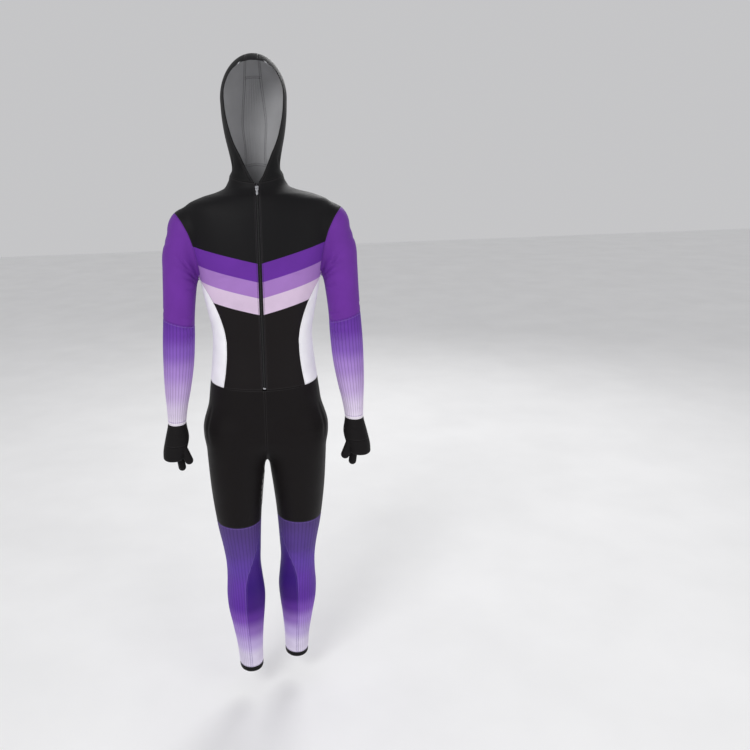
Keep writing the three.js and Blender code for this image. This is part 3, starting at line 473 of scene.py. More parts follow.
# Leg ring: columns from the outer side by the front to the inner side, and on by the back
LEG_FRONT_COLUMNS = 2 + FRONT_COLUMNS
LEG_BACK_COLUMNS = 2 + BACK_SIDE_COLUMNS + len(NECK_BACK_TURNS) - 1
LEG_COLUMNS = LEG_FRONT_COLUMNS + LEG_BACK_COLUMNS
INNER_FROM = LEG_FRONT_COLUMNS - 1
INNER_TO = LEG_FRONT_COLUMNS + 6
EVEN_TURNS = np.hstack([180 * steps(LEG_FRONT_COLUMNS), 180 + 180 * steps(LEG_BACK_COLUMNS)[1:]])
LEG_SEAM = Curves("z turn", [
    (-912, EVEN_TURNS[INNER_FROM]), (-950, 154), (-1000, 134), (-1060, 106), (-1120, 93), (-1250, 91),
    (-1400, 92),
])


def leg_turns(z):
    """Turns of the ring's columns at heights, where the inner panel's front seam comes round."""
    even, back = EVEN_TURNS[INNER_FROM], EVEN_TURNS[INNER_TO]
    front = np.atleast_1d(LEG_SEAM.read(z, "turn"))[:, None]
    before = EVEN_TURNS / even * front
    inner = lerp(front, back, (EVEN_TURNS - even) / (back - even))
    return np.where(EVEN_TURNS <= even, before, np.where(EVEN_TURNS < back, inner, EVEN_TURNS))


def leg_axis(side, z):
    x, y = LEG.read(z, "x", "y")
    return points(side * x, y + stance(side, z), z)


def leg_point(side, turn, z):
    ray = points(side * np.cos(turn * DEG), -np.sin(turn * DEG), 0)
    return cast(leg_axis(side, z), ray, one_leg(side))


def leg_grid(side, top, foot, rows):
    """Lower leg between two heights, all round."""
    z = lerp(top, foot, steps(rows))
    return leg_point(side, leg_turns(z), np.broadcast_to(z[:, None], (rows + 1, LEG_COLUMNS + 1)))


def centre_point(rise, way):
    """Centre seam below the hip, in the plane between the legs, at a rise from the crotch's centre."""
    return cast(points(0, 0, CROTCH_CENTRE), points(0, -way * np.cos(rise), np.sin(rise)))


def shorts_grid(side, way):
    """Shorts: front (way 1) or back (way -1) of a thigh, from its outer side to the inside leg."""
    hip_front, hip_back = SIDE_PANEL.read(HIP_FRONT, "front", "back")
    side_turn = (hip_front + hip_back) / 2
    near = hip_front if way > 0 else hip_back
    if way > 0:
        rest = hip_front * (1 - steps(FRONT_COLUMNS))
    else:
        rest = np.hstack([lerp(hip_back, BACK_SEAM_TURN, steps(BACK_SIDE_COLUMNS)[:-1]),
                          BACK_SEAM_TURN + (NECK_BACK_TURNS - 90) * (40 / 90)])
    turns = np.hstack([side_turn, (side_turn + near) / 2, rest])
    rows = np.arange(CROTCH_ROWS + THIGH_ROWS + 1)
    centre_z = HIP_SEAM.read(0 if way > 0 else 180, "z")
    top = cast(points(0, 0, centre_z), points(0, -way, 0))
    crotch_rise = math.atan2(top[2] - CROTCH_CENTRE, abs(top[1]))
    low = np.maximum(0, rows - CROTCH_ROWS) / THIGH_ROWS
    high = np.minimum(1, rows / CROTCH_ROWS)
    outer_z = lerp(HIP_SEAM.read(side_turn, "z"), THIGH_SEAM, rows / rows[-1])
    centre = centre_point(lerp(crotch_rise, -math.pi / 2, high), way)
    inner_z = lerp(centre[CROTCH_ROWS, 2], THIGH_SEAM, low)
    end = np.where((rows <= CROTCH_ROWS)[:, None], centre, leg_point(side, 180.0, inner_z))
    axis = leg_axis(side, outer_z)
    start = cast(points(axis[:, 0] * high, axis[:, 1], outer_z), points(side, 0, 0), one_leg(side))
    origin = points(axis[:, 0] * high, axis[:, 1] * high, (outer_z + end[:, 2]) / 2)
    grid = row_between(origin, start, end, steps(len(turns) - 1), side, way, one_leg(side))
    grid[0] = hip_point(side, turns)
    ring = leg_grid(side, THIGH_SEAM, HEM_TOP, CALF_ROWS)[0]
    grid[-1] = ring[:LEG_FRONT_COLUMNS + 1] if way > 0 else ring[LEG_FRONT_COLUMNS:][::-1]
    return grid


def wrapped(grid, first, last):
    """A ring's columns from one to another, going past its end."""
    return grid[:, np.arange(first, last + 1) % (grid.shape[1] - 1)]


SLEEVE_SEAM = 13
ELBOW_MIDDLE = (ELBOW["inner"] + ELBOW["outer"]) / 2
ELBOW_LEAN = math.atan2(ELBOW["outer"] - ELBOW["inner"], 88)


def from_sleeve_seam(grid):
    """An arm's ring of columns, begun at the sleeve's seam."""
    return wrapped(grid, SLEEVE_SEAM, RING + SLEEVE_SEAM)


def arm_axis(side, z):
    x, y = ARM.read(z, "x", "y")
    return points(side * x, y, z)


def arm_grid(side, z, lean):
    """Rings round the arm at heights, leaning across it: column 0 inside, then front and outside."""
    z, lean = (np.reshape(v, (-1, 1)) for v in (z, lean))
    turn = 2 * math.pi * steps(RING)
    rays = points(-side * np.cos(turn) * np.cos(lean), -np.sin(turn), -np.cos(turn) * np.sin(lean))
    return cast(arm_axis(side, z[:, 0])[:, None], rays)


def sleeve_grid(side, ring):
    """Upper sleeve: rays turn from the armhole's plane to the elbow's as the rows go down."""
    start = ARMHOLE_CENTRE * np.array([side, 1, 1])
    end = arm_axis(side, ELBOW_MIDDLE)
    elbow = arm_grid(side, ELBOW_MIDDLE, ELBOW_LEAN)[0]
    share = steps(ARM_ROWS)[:, None]
    axis = arm_axis(side, lerp(start[2], end[2], share[:, 0]))
    origin = lerp(lerp(start, end, share), axis, share)
    rays = lerp(unit(ring - start), unit(elbow - end), share[..., None])
    grid = cast(origin[:, None], rays, arm_only)
    grid[0], grid[-1] = ring, elbow
    return grid


HOOD_CENTRE = np.array([0, -4.0, 205.0])
BINDING = 6


def face_edge(side, z):
    half, y = FACE.read(z, "half"), FACE_FRONT.read(z, "y")
    return cast(points(side * half * 0.3, y * 0.3 + 4, z), points(side * half * 0.7, y * 0.7 - 4, 0))


def strip_point(rise, part):
    """Point of the hood's back strip, at a rise round the crown and a part of its half width."""
    angle = rise * DEG
    middle = cast(HOOD_CENTRE, points(0, np.cos(angle), np.sin(angle)))
    reach = length(middle - HOOD_CENTRE)
    half = STRIP.read(rise, "half")
    return cast(HOOD_CENTRE, points(part * half, reach * np.cos(angle), reach * np.sin(angle)))


def tape_grid(side):
    """Zip tape on one side, a narrow strip beside the front's edge."""
    z = lerp(ZIP_FOOT, CHEST_TOP - 1, steps(35))[:, None]
    return cast(points(side * np.array([TAPE_GAP / 2, TAPE_HALF]), 0, z), points(0, -1, 0))


def fingertips_grid(side):
    """Curled fingers of a glove, from the knuckles round to the tip."""
    drop = lerp(0, math.pi / 2, steps(8))[:, None]
    turn = 2 * math.pi * steps(RING)
    rays = points(-side * np.cos(turn) * np.cos(drop), -np.sin(turn) * np.cos(drop), -np.sin(drop))
    return cast(arm_axis(side, KNUCKLES), rays)


def finger_tube(root, tip, radius):
    """Rings of a finger with a rounded tip. Its first ring slides back until it meets the hand."""
    axis = unit(tip - root)
    wide = unit(np.array([1.0, 0, 0]) - axis * axis[0])
    deep = np.cross(axis, wide)
    turn = 2 * math.pi * steps(20)
    ring = radius * (np.cos(turn)[:, None] * wide + np.sin(turn)[:, None] * deep)
    reach = length(tip - root) - radius
    start = root + axis * reach + ring
    back = np.arange(0, reach, 0.5)[:, None, None]
    gap = figure(start - axis * back)
    landed = np.where((gap > -0.4).all(axis=0), len(back) - 1, (gap < -0.4).argmax(axis=0))
    first = start - axis * (landed * 0.5)[:, None]
    body = lerp(first, start, steps(8)[:, None, None])
    angle = lerp(0, math.pi / 2, steps(6))[1:, None, None]
    dome = root + axis * (reach + radius * np.sin(angle)) + ring * np.cos(angle)
    return np.concatenate([body, dome])


# Patch inside the right thigh: how far down the thigh's rows it is, and between which of the ring's
# columns it lies
PATCH = Curves("row from to", [
    (7.9, 7.1, 9.7), (9, 7, 9.8), (10.1, 7.1, 9.7), (10.7, 7.5, 9.4), (10.95, 8.1, 8.9),
])


def patch_grid():
    """The patch's points, read between the points of the right thigh's ring."""
    front, back = shorts_grid(-1, 1), shorts_grid(-1, -1)
    ring = np.concatenate([front, back[:, :-1][:, ::-1]], axis=1)
    row = lerp(PATCH.places[0], PATCH.places[-1], steps(7))[:, None]
    low, high = PATCH.read(row, "from", "to")
    column = lerp(low, high, steps(6))
    i, j = np.floor(row).astype(int), np.floor(column).astype(int)
    down, over = (row - i)[..., None], (column - j)[..., None]
    upper, lower = lerp(ring[i, j], ring[i, j + 1], over), lerp(ring[i + 1, j], ring[i + 1, j + 1], over)
    return lerp(upper, lower, down)


def nape_rise():
    nape = neck_point(1, 155.0)
    return math.atan2(nape[2] - HOOD_CENTRE[2], nape[1] - HOOD_CENTRE[1]) / DEG


def hood_grid(side):
    """Hood side: from the face edge to the back strip, and from the neck seam up over the crown."""
    turns = lerp(zip_turn(CHEST_TOP), 90, steps(FRONT_COLUMNS))
    foot = np.hstack([turns[0], turns[0] + 7, turns[1:], NECK_BACK_TURNS[1:5]])
    front = steps(FRONT_COLUMNS) * 0.58
    behind = 0.58 + 0.42 * (NECK_BACK_TURNS[1:5] - 90) / 65
    shares = np.hstack([front, behind])
    share = steps(HOOD_ROWS)
    start = face_edge(side, lerp(CHEST_TOP, 302, share))
    end = strip_point(lerp(nape_rise(), 120, share), side)
    origin = points(0, lerp(0, -4, share), np.minimum((start[:, 2] + end[:, 2]) / 2, HOOD_CENTRE[2]))
    band = np.minimum(0.3, BINDING / length(start - end))[:, None]
    grid = across(origin, start, end, np.hstack([0 * band, lerp(band, 1, shares)]))
    grid[0] = neck_point(side, foot)
    return grid


def strip_grid():
    """Hood's back strip and crown, between the two hood sides."""
    parts = np.array([1, 0.5, 0, -0.5, -1])
    rise = lerp(nape_rise(), 120, steps(HOOD_ROWS))[:, None]
    grid = strip_point(rise + 0 * parts, parts + 0 * rise)
    grid[0] = neck_point(np.where(parts < 0, -1, 1), 180 - 25 * np.abs(parts))
    return grid


def finer(grid, times, axis, breaks=()):
    """Splits every step of a grid along one axis, on smooth curves through its points.

    Each step follows the cubic that meets its two points. A point's slope is the mean of the steps
    on both sides of it, at most twice the shorter one, so uneven steps don't fold over. At the
    ends, and at breaks where a seam turns, each side has its own.
    """
    p = np.moveaxis(grid, axis, 0)
    run = p[1:] - p[:-1]
    mean = (run[1:] + run[:-1]) / 2
    shorter = np.minimum(length(run[1:]), length(run[:-1]))
    mean = mean * np.minimum(1, 2 * shorter / np.maximum(length(mean), 1e-9))[..., None]
    arrive = np.concatenate([run[:1], mean, run[-1:]])
    leave = arrive.copy()
    for b in breaks:
        leave[b], arrive[b] = run[b], run[b - 1]
    t = (np.arange(times) / times).reshape(1, times, *[1] * (p.ndim - 1))
    rest = 1 - t
    fine = p[:-1, None] * (1 + 2 * t) * rest * rest + leave[:-1, None] * t * rest * rest
    fine = fine + p[1:, None] * t * t * (3 - 2 * t) - arrive[1:, None] * t * t * rest
    fine = np.concatenate([fine.reshape(-1, *p.shape[1:]), p[-1:]])
    return np.moveaxis(fine, 0, axis)


def evened(grid, passes=3, rounds=8):
    """Spreads a grid's inner points evenly over the figure, with its edges kept where they are.

    Each point goes to the mean of its four neighbours, and is settled on the figure again.
    """
    grid = grid.copy()
    for _ in range(passes):
        for _ in range(rounds):
            beside = grid[1:-1, 2:] + grid[1:-1, :-2] + grid[2:, 1:-1] + grid[:-2, 1:-1]
            grid[1:-1, 1:-1] = beside / 4
        grid[1:-1, 1:-1] = settle(grid[1:-1, 1:-1])
    return grid


MARGINS = (0.8, 2.0)


def with_margins(grid, axis):
    """Adds lines close inside a grid's two edges along one axis, to carry the seams' grooves."""
    p = np.moveaxis(grid, axis, 0)

    def lines(edge, inner):
        run = np.maximum(length(inner - edge), 1e-6)[..., None]
        return [edge + (inner - edge) * np.minimum(d / run, 0.3 * (k + 1)) for k, d in enumerate(MARGINS)]

    first, last = lines(p[0], p[1]), lines(p[-1], p[-2])
    whole = np.concatenate([p[:1], first, p[1:-1], last[::-1], p[-1:]])
    return np.moveaxis(whole, 0, axis)


# Creases: soft troughs with a low ridge on both sides. Each runs over the figure from a start by a
# middle to an end, given as turns and heights on a limb, and is pressed in by its depth.
CREASES = []
CREASE_DEPTH = 1.7


def limb_point(limb, side, turn, z):
    """A point of the surface at a turn and height on the trunk, an arm or a leg."""
    if limb == "trunk":
        return cast(points(0, 0, z), facing(side, turn), trunk_only)
    if limb == "leg":
        return leg_point(side, turn, z)
    ray = points(-side * np.cos(turn * DEG), -np.sin(turn * DEG), 0)
    return cast(arm_axis(side, z), ray, arm_only)


def add_creases(limb, sides, rows):
    """Rows of turn0 z0 turn1 z1 turn2 z2 width depth, pressed in on the sides that are named."""
    table = np.array(rows, float)
    for side in sides:
        ends = [limb_point(limb, side, table[:, c], table[:, c + 1]) for c in (0, 2, 4)]
        bow = 2 * ends[1] - (ends[0] + ends[2]) / 2
        t = steps(10)[:, None, None]
        lines = (1 - t) ** 2 * ends[0] + 2 * t * (1 - t) * bow + t * t * ends[2]
        for k, row in enumerate(table):
            CREASES.append((lines[:, k], row[6], row[7] * CREASE_DEPTH))


def creased(p):
    """How far each point is moved out by the creases near it."""
    flat = p.reshape(-1, 3)
    moved = np.zeros(len(flat))
    low, high = flat.min(axis=0), flat.max(axis=0)
    for line, width, depth in CREASES:
        reach = 3 * width
        if (line.max(axis=0) < low - reach).any() or (line.min(axis=0) > high + reach).any():
            continue
        inside = ((flat > line.min(axis=0) - reach) & (flat < line.max(axis=0) + reach)).all(axis=1)
        near = flat[inside]
        if not len(near):
            continue
        run = line[1:] - line[:-1]
        off = near[:, None] - line[:-1]
        t = np.clip((off * run).sum(axis=-1) / (run * run).sum(axis=-1), 0, 1)
        gap = length(off - t[..., None] * run)
        closest = gap.argmin(axis=1)
        pick = np.arange(len(near))
        along = (closest + t[pick, closest]) / len(run)
        q = (gap[pick, closest] / width) ** 2
        taper = np.sin(math.pi * np.clip(along, 0, 1)) ** 0.7
        moved[inside] -= depth * taper * np.exp(-q) * (1 - 1.6 * q)
    return moved.reshape(p.shape[:-1])


RIB_HEIGHT = 0.35
GROOVE = 0.55
KNIT_THICKNESS = 0.9


def mesh_object(name, verts, faces, uvs, materials, smooth=True):
    """A mesh in metres from points in millimetres, its quads, and UV maps given per corner."""
    mesh = bpy.data.meshes.new(name)
    mesh.vertices.add(len(verts))
    mesh.vertices.foreach_set("co", (verts * MM).astype(np.float32).ravel())
    mesh.loops.add(faces.size)
    mesh.loops.foreach_set("vertex_index", faces.astype(np.int32).ravel())
    mesh.polygons.add(len(faces))
    mesh.polygons.foreach_set("loop_start", np.arange(0, faces.size, faces.shape[1], dtype=np.int32))
    mesh.polygons.foreach_set("loop_total", np.full(len(faces), faces.shape[1], np.int32))
    for title, corner in uvs.items():
        mesh.uv_layers.new(name=title).data.foreach_set("uv", corner.astype(np.float32).ravel())
    mesh.update(calc_edges=True)
    mesh.validate()
    mesh.polygons.foreach_set("use_smooth", np.full(len(mesh.polygons), smooth))
    for material in materials:
        mesh.materials.append(material)
    obj = bpy.data.objects.new(name, mesh)
    bpy.context.scene.collection.objects.link(obj)
    return obj


def grid_faces(rows, columns):
    """Corner indices of a grid's quads."""
    i, j = np.meshgrid(np.arange(rows - 1), np.arange(columns - 1), indexing="ij")
    corner = i * columns + j
    return np.stack([corner, corner + columns, corner + columns + 1, corner + 1], axis=-1).reshape(-1, 4)


def run_lengths(grid, axis):
    """Distance of each point from the first, along one axis."""
    gaps = length(np.diff(grid, axis=axis))
    zero = np.zeros_like(np.take(gaps, [0], axis=axis))
    return np.concatenate([zero, np.cumsum(gaps, axis=axis)], axis=axis)


def cloth(name, grid, kind, split, breaks=((), ()), closed=False, ribs=None, seams=(True, True),
          lift=0.0, thickness=KNIT_THICKNESS, rough=1.0, on_figure=True):
    """One panel of knit: a fine grid on the figure, creased, with grooves at its seams.

    kind is its material's key. split is how many steps each row and column step becomes. ribs gives
    the rib's phase at every point. seams says whether the sides and the two ends are sewn edges. A
    panel stands for the node that has its name in small letters.
    """
    fine = finer(grid, split[0], 0, breaks[0])
    fine = finer(fine, split[1], 1, breaks[1])
    if on_figure and not closed:
        fine = evened(fine)
    if seams[1]:
        fine = with_margins(fine, 0)
    if seams[0]:
        fine = with_margins(fine, 1)
    if on_figure:
        fine = settle(fine)
        normal = unit(gradient(fine))
    else:
        normal = grid_normals(fine)
    u, v = run_lengths(fine, 1), run_lengths(fine, 0)
    far = np.full_like(u, 50.0)
    edge_u = np.minimum(u, u[:, -1:] - u) if seams[0] else far
    edge_v = np.minimum(v, v[-1:] - v) if seams[1] else far
    groove = np.exp(-(edge_u / 1.2) ** 2) + np.exp(-(edge_v / 1.2) ** 2)
    phase = ribs(fine) if ribs else far * 0
    relief = RIB_HEIGHT * np.cos(2 * math.pi * phase) if ribs else 0
    out = lift + rough * creased(fine) - GROOVE * np.minimum(groove, 1) + relief
    placed = fine + normal * out[..., None]
    rows, columns = placed.shape[:2]
    faces = grid_faces(rows, columns)
    middle = u[:, columns // 2:columns // 2 + 1]
    uvs = {"cloth": np.stack([u - middle, v], -1), "seam": np.stack([edge_u, edge_v], -1),
           "rib": np.stack([phase, v], -1)}
    corners = {title: value.reshape(-1, 2)[faces].reshape(-1, 2) for title, value in uvs.items()}
    verts = placed.reshape(-1, 3)
    a, b, c = (verts[faces[:, k]] for k in (0, 1, 3))
    facing_out = (np.cross(b - a, c - a) * normal.reshape(-1, 3)[faces[:, 0]]).sum() > 0
    if closed:
        keep = np.arange(rows * columns).reshape(rows, columns)
        keep[:, -1] = keep[:, 0]
        used, faces = np.unique(keep[:, :-1].ravel(), return_inverse=True)[0], keep.ravel()[faces]
        faces = np.searchsorted(used, faces)
        verts = verts[used]
    if not facing_out:
        faces = faces[:, ::-1]
        corners = {t: c.reshape(-1, 4, 2)[:, ::-1].reshape(-1, 2) for t, c in corners.items()}
    obj = mesh_object(name, verts, faces, corners, [MATERIALS[kind], MATERIALS["wrong_side"]])
    shell = obj.modifiers.new("thickness", "SOLIDIFY")
    shell.thickness = thickness * MM
    shell.offset = -1
    shell.material_offset = 1
    shell.material_offset_rim = 0
    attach(obj, BODY)
    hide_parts(name.lower())
    return obj


def grid_normals(grid):
    """Outward normals of a closed tube's grid, from its middle line."""
    across_rows, along = np.gradient(grid, axis=0), np.gradient(grid, axis=1)
    normal = unit(np.cross(across_rows, along))
    normal[:, 0] = normal[:, -1] = unit(normal[:, 0] + normal[:, -1])
    normal[-1] = unit(normal[-2].mean(axis=0))
    middle = grid.mean(axis=1, keepdims=True)
    return normal * np.sign(((grid - middle) * normal).sum())


# Materials
def linear(code):
    """An sRGB hex value as linear red, green, blue and alpha."""
    parts = [int(code[i:i + 2], 16) / 255 for i in (1, 3, 5)]
    return (*[c / 12.92 if c <= 0.04045 else ((c + 0.055) / 1.055) ** 2.4 for c in parts], 1.0)


def add(tree, kind, inputs=None, stops=(), out=0, **settings):
    """Adds a shader node, sets it and links it, and returns one of its outputs."""
    made = tree.nodes.new("ShaderNode" + kind)
    for key, value in settings.items():
        setattr(made, key, value)
    for key, value in (inputs or {}).items():
        if isinstance(value, bpy.types.NodeSocket):
            tree.links.new(value, made.inputs[key])
        else:
            made.inputs[key].default_value = value
    if stops:
        ramp = made.color_ramp.elements
        while len(ramp) < len(stops):
            ramp.new(1.0)
        for element, (place, code) in zip(ramp, stops):
            element.position = place
        for element, (place, code) in zip(ramp, stops):
            element.color = linear(code)
    return made.outputs[out]


def new_material(name):
    material = bpy.data.materials.new(name)
    material.use_nodes = True
    tree = material.node_tree
    shader = next(n for n in tree.nodes if n.type == "BSDF_PRINCIPLED")
    return material, tree, shader


def calc(tree, operation, a, b=0.5, c=0.5):
    """A math node of one to three values."""
    return add(tree, "Math", {0: a, 1: b, 2: c}, operation=operation)


def uv_part(tree, title, part):
    """One number of a UV map."""
    return add(tree, "SeparateXYZ", {0: add(tree, "UVMap", uv_map=title)}, out=part)


def print_ramp(tree, low, high, rows, sharp=False, slope=0.0):
    """Print colours against height in mm, or against height less a slope times the distance from
    the middle, which turns level bands into a V."""
    where = add(tree, "TexCoord", out=3)
    place = add(tree, "SeparateXYZ", {0: where}, out=2)
    if slope:
        off = calc(tree, "ABSOLUTE", add(tree, "SeparateXYZ", {0: where}))
        place = calc(tree, "SUBTRACT", place, calc(tree, "MULTIPLY", off, slope))
    share = add(tree, "MapRange", {0: place, 1: low * MM, 2: high * MM, 3: 0.0, 4: 1.0})
    stops = [((z - low) / (high - low), code) for z, code in sorted(rows)]
    made = add(tree, "ValToRGB", {0: share}, stops=stops)
    made.node.color_ramp.interpolation = "CONSTANT" if sharp else "EASE"
    return made


def band(tree, value, centre, width, soft):
    """1 on a line of a width round a place, fading to 0 over a soft edge."""
    off = calc(tree, "ABSOLUTE", calc(tree, "SUBTRACT", value, centre))
    return add(tree, "MapRange", {0: off, 1: width / 2, 2: width / 2 + soft, 3: 1.0, 4: 0.0})


def dashes(tree, value, pitch, share):
    """1 on the dashes of a stitch line, 0 between them."""
    part = calc(tree, "FRACT", calc(tree, "MULTIPLY", value, 1.0 / pitch))
    return band(tree, part, 0.5, share - 0.12, 0.12)


# Wale and course spacing of the knit in mm. The real 0.5 mm is drawn as coarse as it can show.
WALE = 1.7
COURSE = 1.3
THREAD = {"pitch": 3.2, "inset": 2.6, "width": 0.8, "soft": 0.35, "share": 0.66, "rise": 1.6}
KNIT_GLOSS = 0.14


def mixed(tree, a, b, share=1.0, multiplied=False):
    """Two colours mixed by a share, or multiplied."""
    blend = "MULTIPLY" if multiplied else "MIX"
    return add(tree, "Mix", {0: share, 6: a, 7: b}, data_type="RGBA", blend_type=blend, out=2)


def knit(name, colour, roughness=0.58, sheen=0.03, thread="#2b292a", rib_hollow_shade=0.0, weave=0.25):
    """Warp-knitted polyester and elastane: a soft, slightly shiny face of fine wales.

    colour is a hex value or a function that adds print nodes. The rib darkening is painted shade in the
    grooves between knitted ribs, and thread is the colour of the cover stitch beside each seam.
    """
    material, tree, shader = new_material(name)
    u, v = uv_part(tree, "cloth", 0), uv_part(tree, "cloth", 1)
    if isinstance(colour, str):
        base = add(tree, "RGB")
        base.default_value = linear(colour)
    else:
        base = colour(tree)
    cloud = add(tree, "TexNoise", {"Vector": add(tree, "TexCoord", out=3), "Scale": 14.0, "Detail": 4.0})
    shade = add(tree, "MapRange", {0: cloud, 1: 0.3, 2: 0.7, 3: 0.93, 4: 1.07})
    base = mixed(tree, base, shade, multiplied=True)
    # Painted shade: the colour is darkened in the grooves between the ribs, where their relief is lowest
    if rib_hollow_shade:
        wave = calc(tree, "COSINE", calc(tree, "MULTIPLY", uv_part(tree, "rib", 0), 2 * math.pi))
        hollow = add(tree, "MapRange", {0: wave, 1: -1.0, 2: -0.35, 3: 1 - rib_hollow_shade, 4: 1.0})
        base = mixed(tree, base, hollow, multiplied=True)
    sewn = []
    for part, along in enumerate((v, u)):
        line = band(tree, uv_part(tree, "seam", part), THREAD["inset"], THREAD["width"], THREAD["soft"])
        sewn.append(calc(tree, "MULTIPLY", line, dashes(tree, along, THREAD["pitch"], THREAD["share"])))
    stitch = calc(tree, "MAXIMUM", *sewn)
    base = mixed(tree, base, linear(thread), stitch)
    wales = calc(tree, "SINE", calc(tree, "MULTIPLY", u, 2 * math.pi / WALE))
    courses = calc(tree, "SINE", calc(tree, "MULTIPLY", v, 2 * math.pi / COURSE))
    loops = calc(tree, "MULTIPLY", calc(tree, "MULTIPLY", wales, courses), weave)
    height = calc(tree, "MULTIPLY_ADD", stitch, THREAD["rise"], loops)
    bump = add(tree, "Bump", {"Height": height, "Strength": 0.35, "Distance": 0.0004})
    tree.links.new(base, shader.inputs["Base Color"])
    tree.links.new(bump, shader.inputs["Normal"])
    rough = add(tree, "MapRange", {0: cloud, 1: 0.3, 2: 0.7, 3: roughness - 0.05, 4: roughness + 0.05})
    tree.links.new(rough, shader.inputs["Roughness"])
    shader.inputs["Specular IOR Level"].default_value = KNIT_GLOSS
    shader.inputs["Sheen Weight"].default_value = sheen
    shader.inputs["Sheen Roughness"].default_value = 0.4
    return material


def chest_print(tree):
    """Three plain bands in a shallow V across the chest, from deep violet to pale lilac."""
    return print_ramp(tree, -600, 100, [
        (-600, "#151112"), (-305, "#d5bfd8"), (-263, "#a176be"), (-221, "#652d99"), (-176, "#0f0e10"),
    ], sharp=True, slope=0.256)


def forearm_print(tree):
    """Deep violet at the elbow that fades to near white at the cuff."""
    return print_ramp(tree, -600, -320, [
        (-600, "#e4daeb"), (-570, "#d6c8e2"), (-515, "#bfa5d8"), (-460, "#a583cb"), (-410, "#8259b6"),
        (-360, "#6a39a3"), (-320, "#5f2f99"),
    ])


def leg_print(inner):
    """Dusky indigo at the knee, vivid violet on the calf, and pale lilac grey at the ankle."""
    rows = [(-1400, "#e4dcee"), (-1350, "#d8cee6"), (-1310, "#bda9da")]
    # Painted shade: the inner panel's colours are darker than the outer's at the same heights, as the leg's
    # inner side faces away from the light
    if inner:
        rows += [(-1265, "#8c69b6"), (-1220, "#5c2f92"), (-1180, "#3f1877"), (-1110, "#361374"),
                 (-1050, "#3f1c7c"), (-990, "#4b3285"), (-912, "#4f3a7a")]
    else:
        rows += [(-1265, "#a484cf"), (-1222, "#7a4cb2"), (-1180, "#5f319e"), (-1110, "#6339a3"),
                 (-1050, "#6040a1"), (-990, "#573e8c"), (-912, "#503b7a")]
    return lambda tree: print_ramp(tree, -1400, -912, rows)


def metal(name, colour, bright, roughness, metallic=1.0):
    """Plated zip metal, or moulded nylon, with faint brushed scratches."""
    material, tree, shader = new_material(name)
    where = add(tree, "Mapping", {"Vector": add(tree, "TexCoord", out=3), "Scale": (4000, 400, 400)})
    grain = add(tree, "TexNoise", {"Vector": where, "Scale": 1.0, "Detail": 2.0})
    rough = add(tree, "MapRange", {0: grain, 3: roughness - 0.08, 4: roughness + 0.12})
    tree.links.new(rough, shader.inputs["Roughness"])
    tone = add(tree, "ValToRGB", {0: grain}, stops=[(0.2, colour), (0.8, bright)])
    tree.links.new(tone, shader.inputs["Base Color"])
    shader.inputs["Metallic"].default_value = metallic
    return material


def patch_stripes(tree):
    """Pale reflective bars on dark film, slanted down to one side."""
    place = calc(tree, "MULTIPLY_ADD", uv_part(tree, "cloth", 0), STRIPE["slant"], uv_part(tree, "cloth", 1))
    part = calc(tree, "FRACT", calc(tree, "MULTIPLY", place, 1 / STRIPE["pitch"]))
    bar = add(tree, "MapRange", {0: part, 1: STRIPE["gap"] - 0.02, 2: STRIPE["gap"] + 0.02, 3: 0.0, 4: 1.0})
    end = add(tree, "MapRange", {0: part, 1: 0.97, 2: 1.0, 3: 1.0, 4: 0.0})
    return mixed(tree, linear("#1d1b1c"), linear("#8b8987"), calc(tree, "MULTIPLY", bar, end))


def tape_edges(tree):
    """Black tape with a thin pale line along its woven edges."""
    line = add(tree, "MapRange", {0: uv_part(tree, "seam", 0), 1: 0.35, 2: 0.55, 3: 1.0, 4: 0.0})
    return mixed(tree, linear("#161516"), linear("#5d5a60"), line)


STRIPE = {"pitch": 18.0, "gap": 0.3, "slant": 0.3}
MATERIALS = {
    "yoke": knit("black_knit_with_chest_bands", chest_print),
    "black": knit("black_knit", "#100c0d"),
    "hood": knit("black_hood_knit", "#0d0d0e"),
    "ribbed": knit("charcoal_ribbed_knit", "#2c2729", rib_hollow_shade=0.45, thread="#4a4548"),
    "hood_ribbed": knit("slate_ribbed_knit", "#2a292e", rib_hollow_shade=0.45, thread="#454349"),
    "white": knit("white_knit", "#f8f7fa", thread="#c8c5cc"),
    "sleeve": knit("violet_knit", "#6a3097", thread="#4c2380"),
    "forearm": knit("fading_ribbed_knit", forearm_print, thread="#8a66b4", rib_hollow_shade=0.3),
    "cuff": knit("white_cuff_knit", "#e9e3ec", thread="#cfc6d4"),
    "leg_outer": knit("fading_ribbed_leg_knit", leg_print(False), thread="#7460a4", rib_hollow_shade=0.24),
    "leg_inner": knit("fading_plain_leg_knit", leg_print(True), thread="#55408a"),
    "hem": knit("black_hem_elastic", "#121112", roughness=0.7),
    "glove": knit("black_glove_knit", "#141213", roughness=0.7),
    "patch": knit("reflective_patch_film", patch_stripes, thread="#2a2829", roughness=0.4, sheen=0.0,
                  weave=0.1),
    "tape": knit("woven_zip_tape", tape_edges, thread="#1f1e1f", roughness=0.8, sheen=0.0),
    "metal": metal("nickel_plated_zinc", "#9a9a9e", "#d4d4d8", 0.28),
    "coil": metal("black_nylon_coil", "#0c0c0d", "#161617", 0.45, 0.0),
    "wrong_side": knit("grey_wrong_side", "#adadaf", thread="#3c3b3e", roughness=0.85),
}


def leg_ribs(side):
    """Ribs run straight down the leg: their phase follows the turn round its axis."""
    def phase(p):
        off = p - leg_axis(side, p[..., 2])
        turn = np.arctan2(-off[..., 1], side * off[..., 0]) / DEG
        return ((turn + 540) % 360) / 360 * 40

    return phase


def even_ribs(count):
    """Ribs that keep their count across a panel, so they close in as it narrows."""
    def phase(p):
        u = run_lengths(p, 1)
        return u / np.maximum(u[:, -1:], 1e-6) * count

    return phase


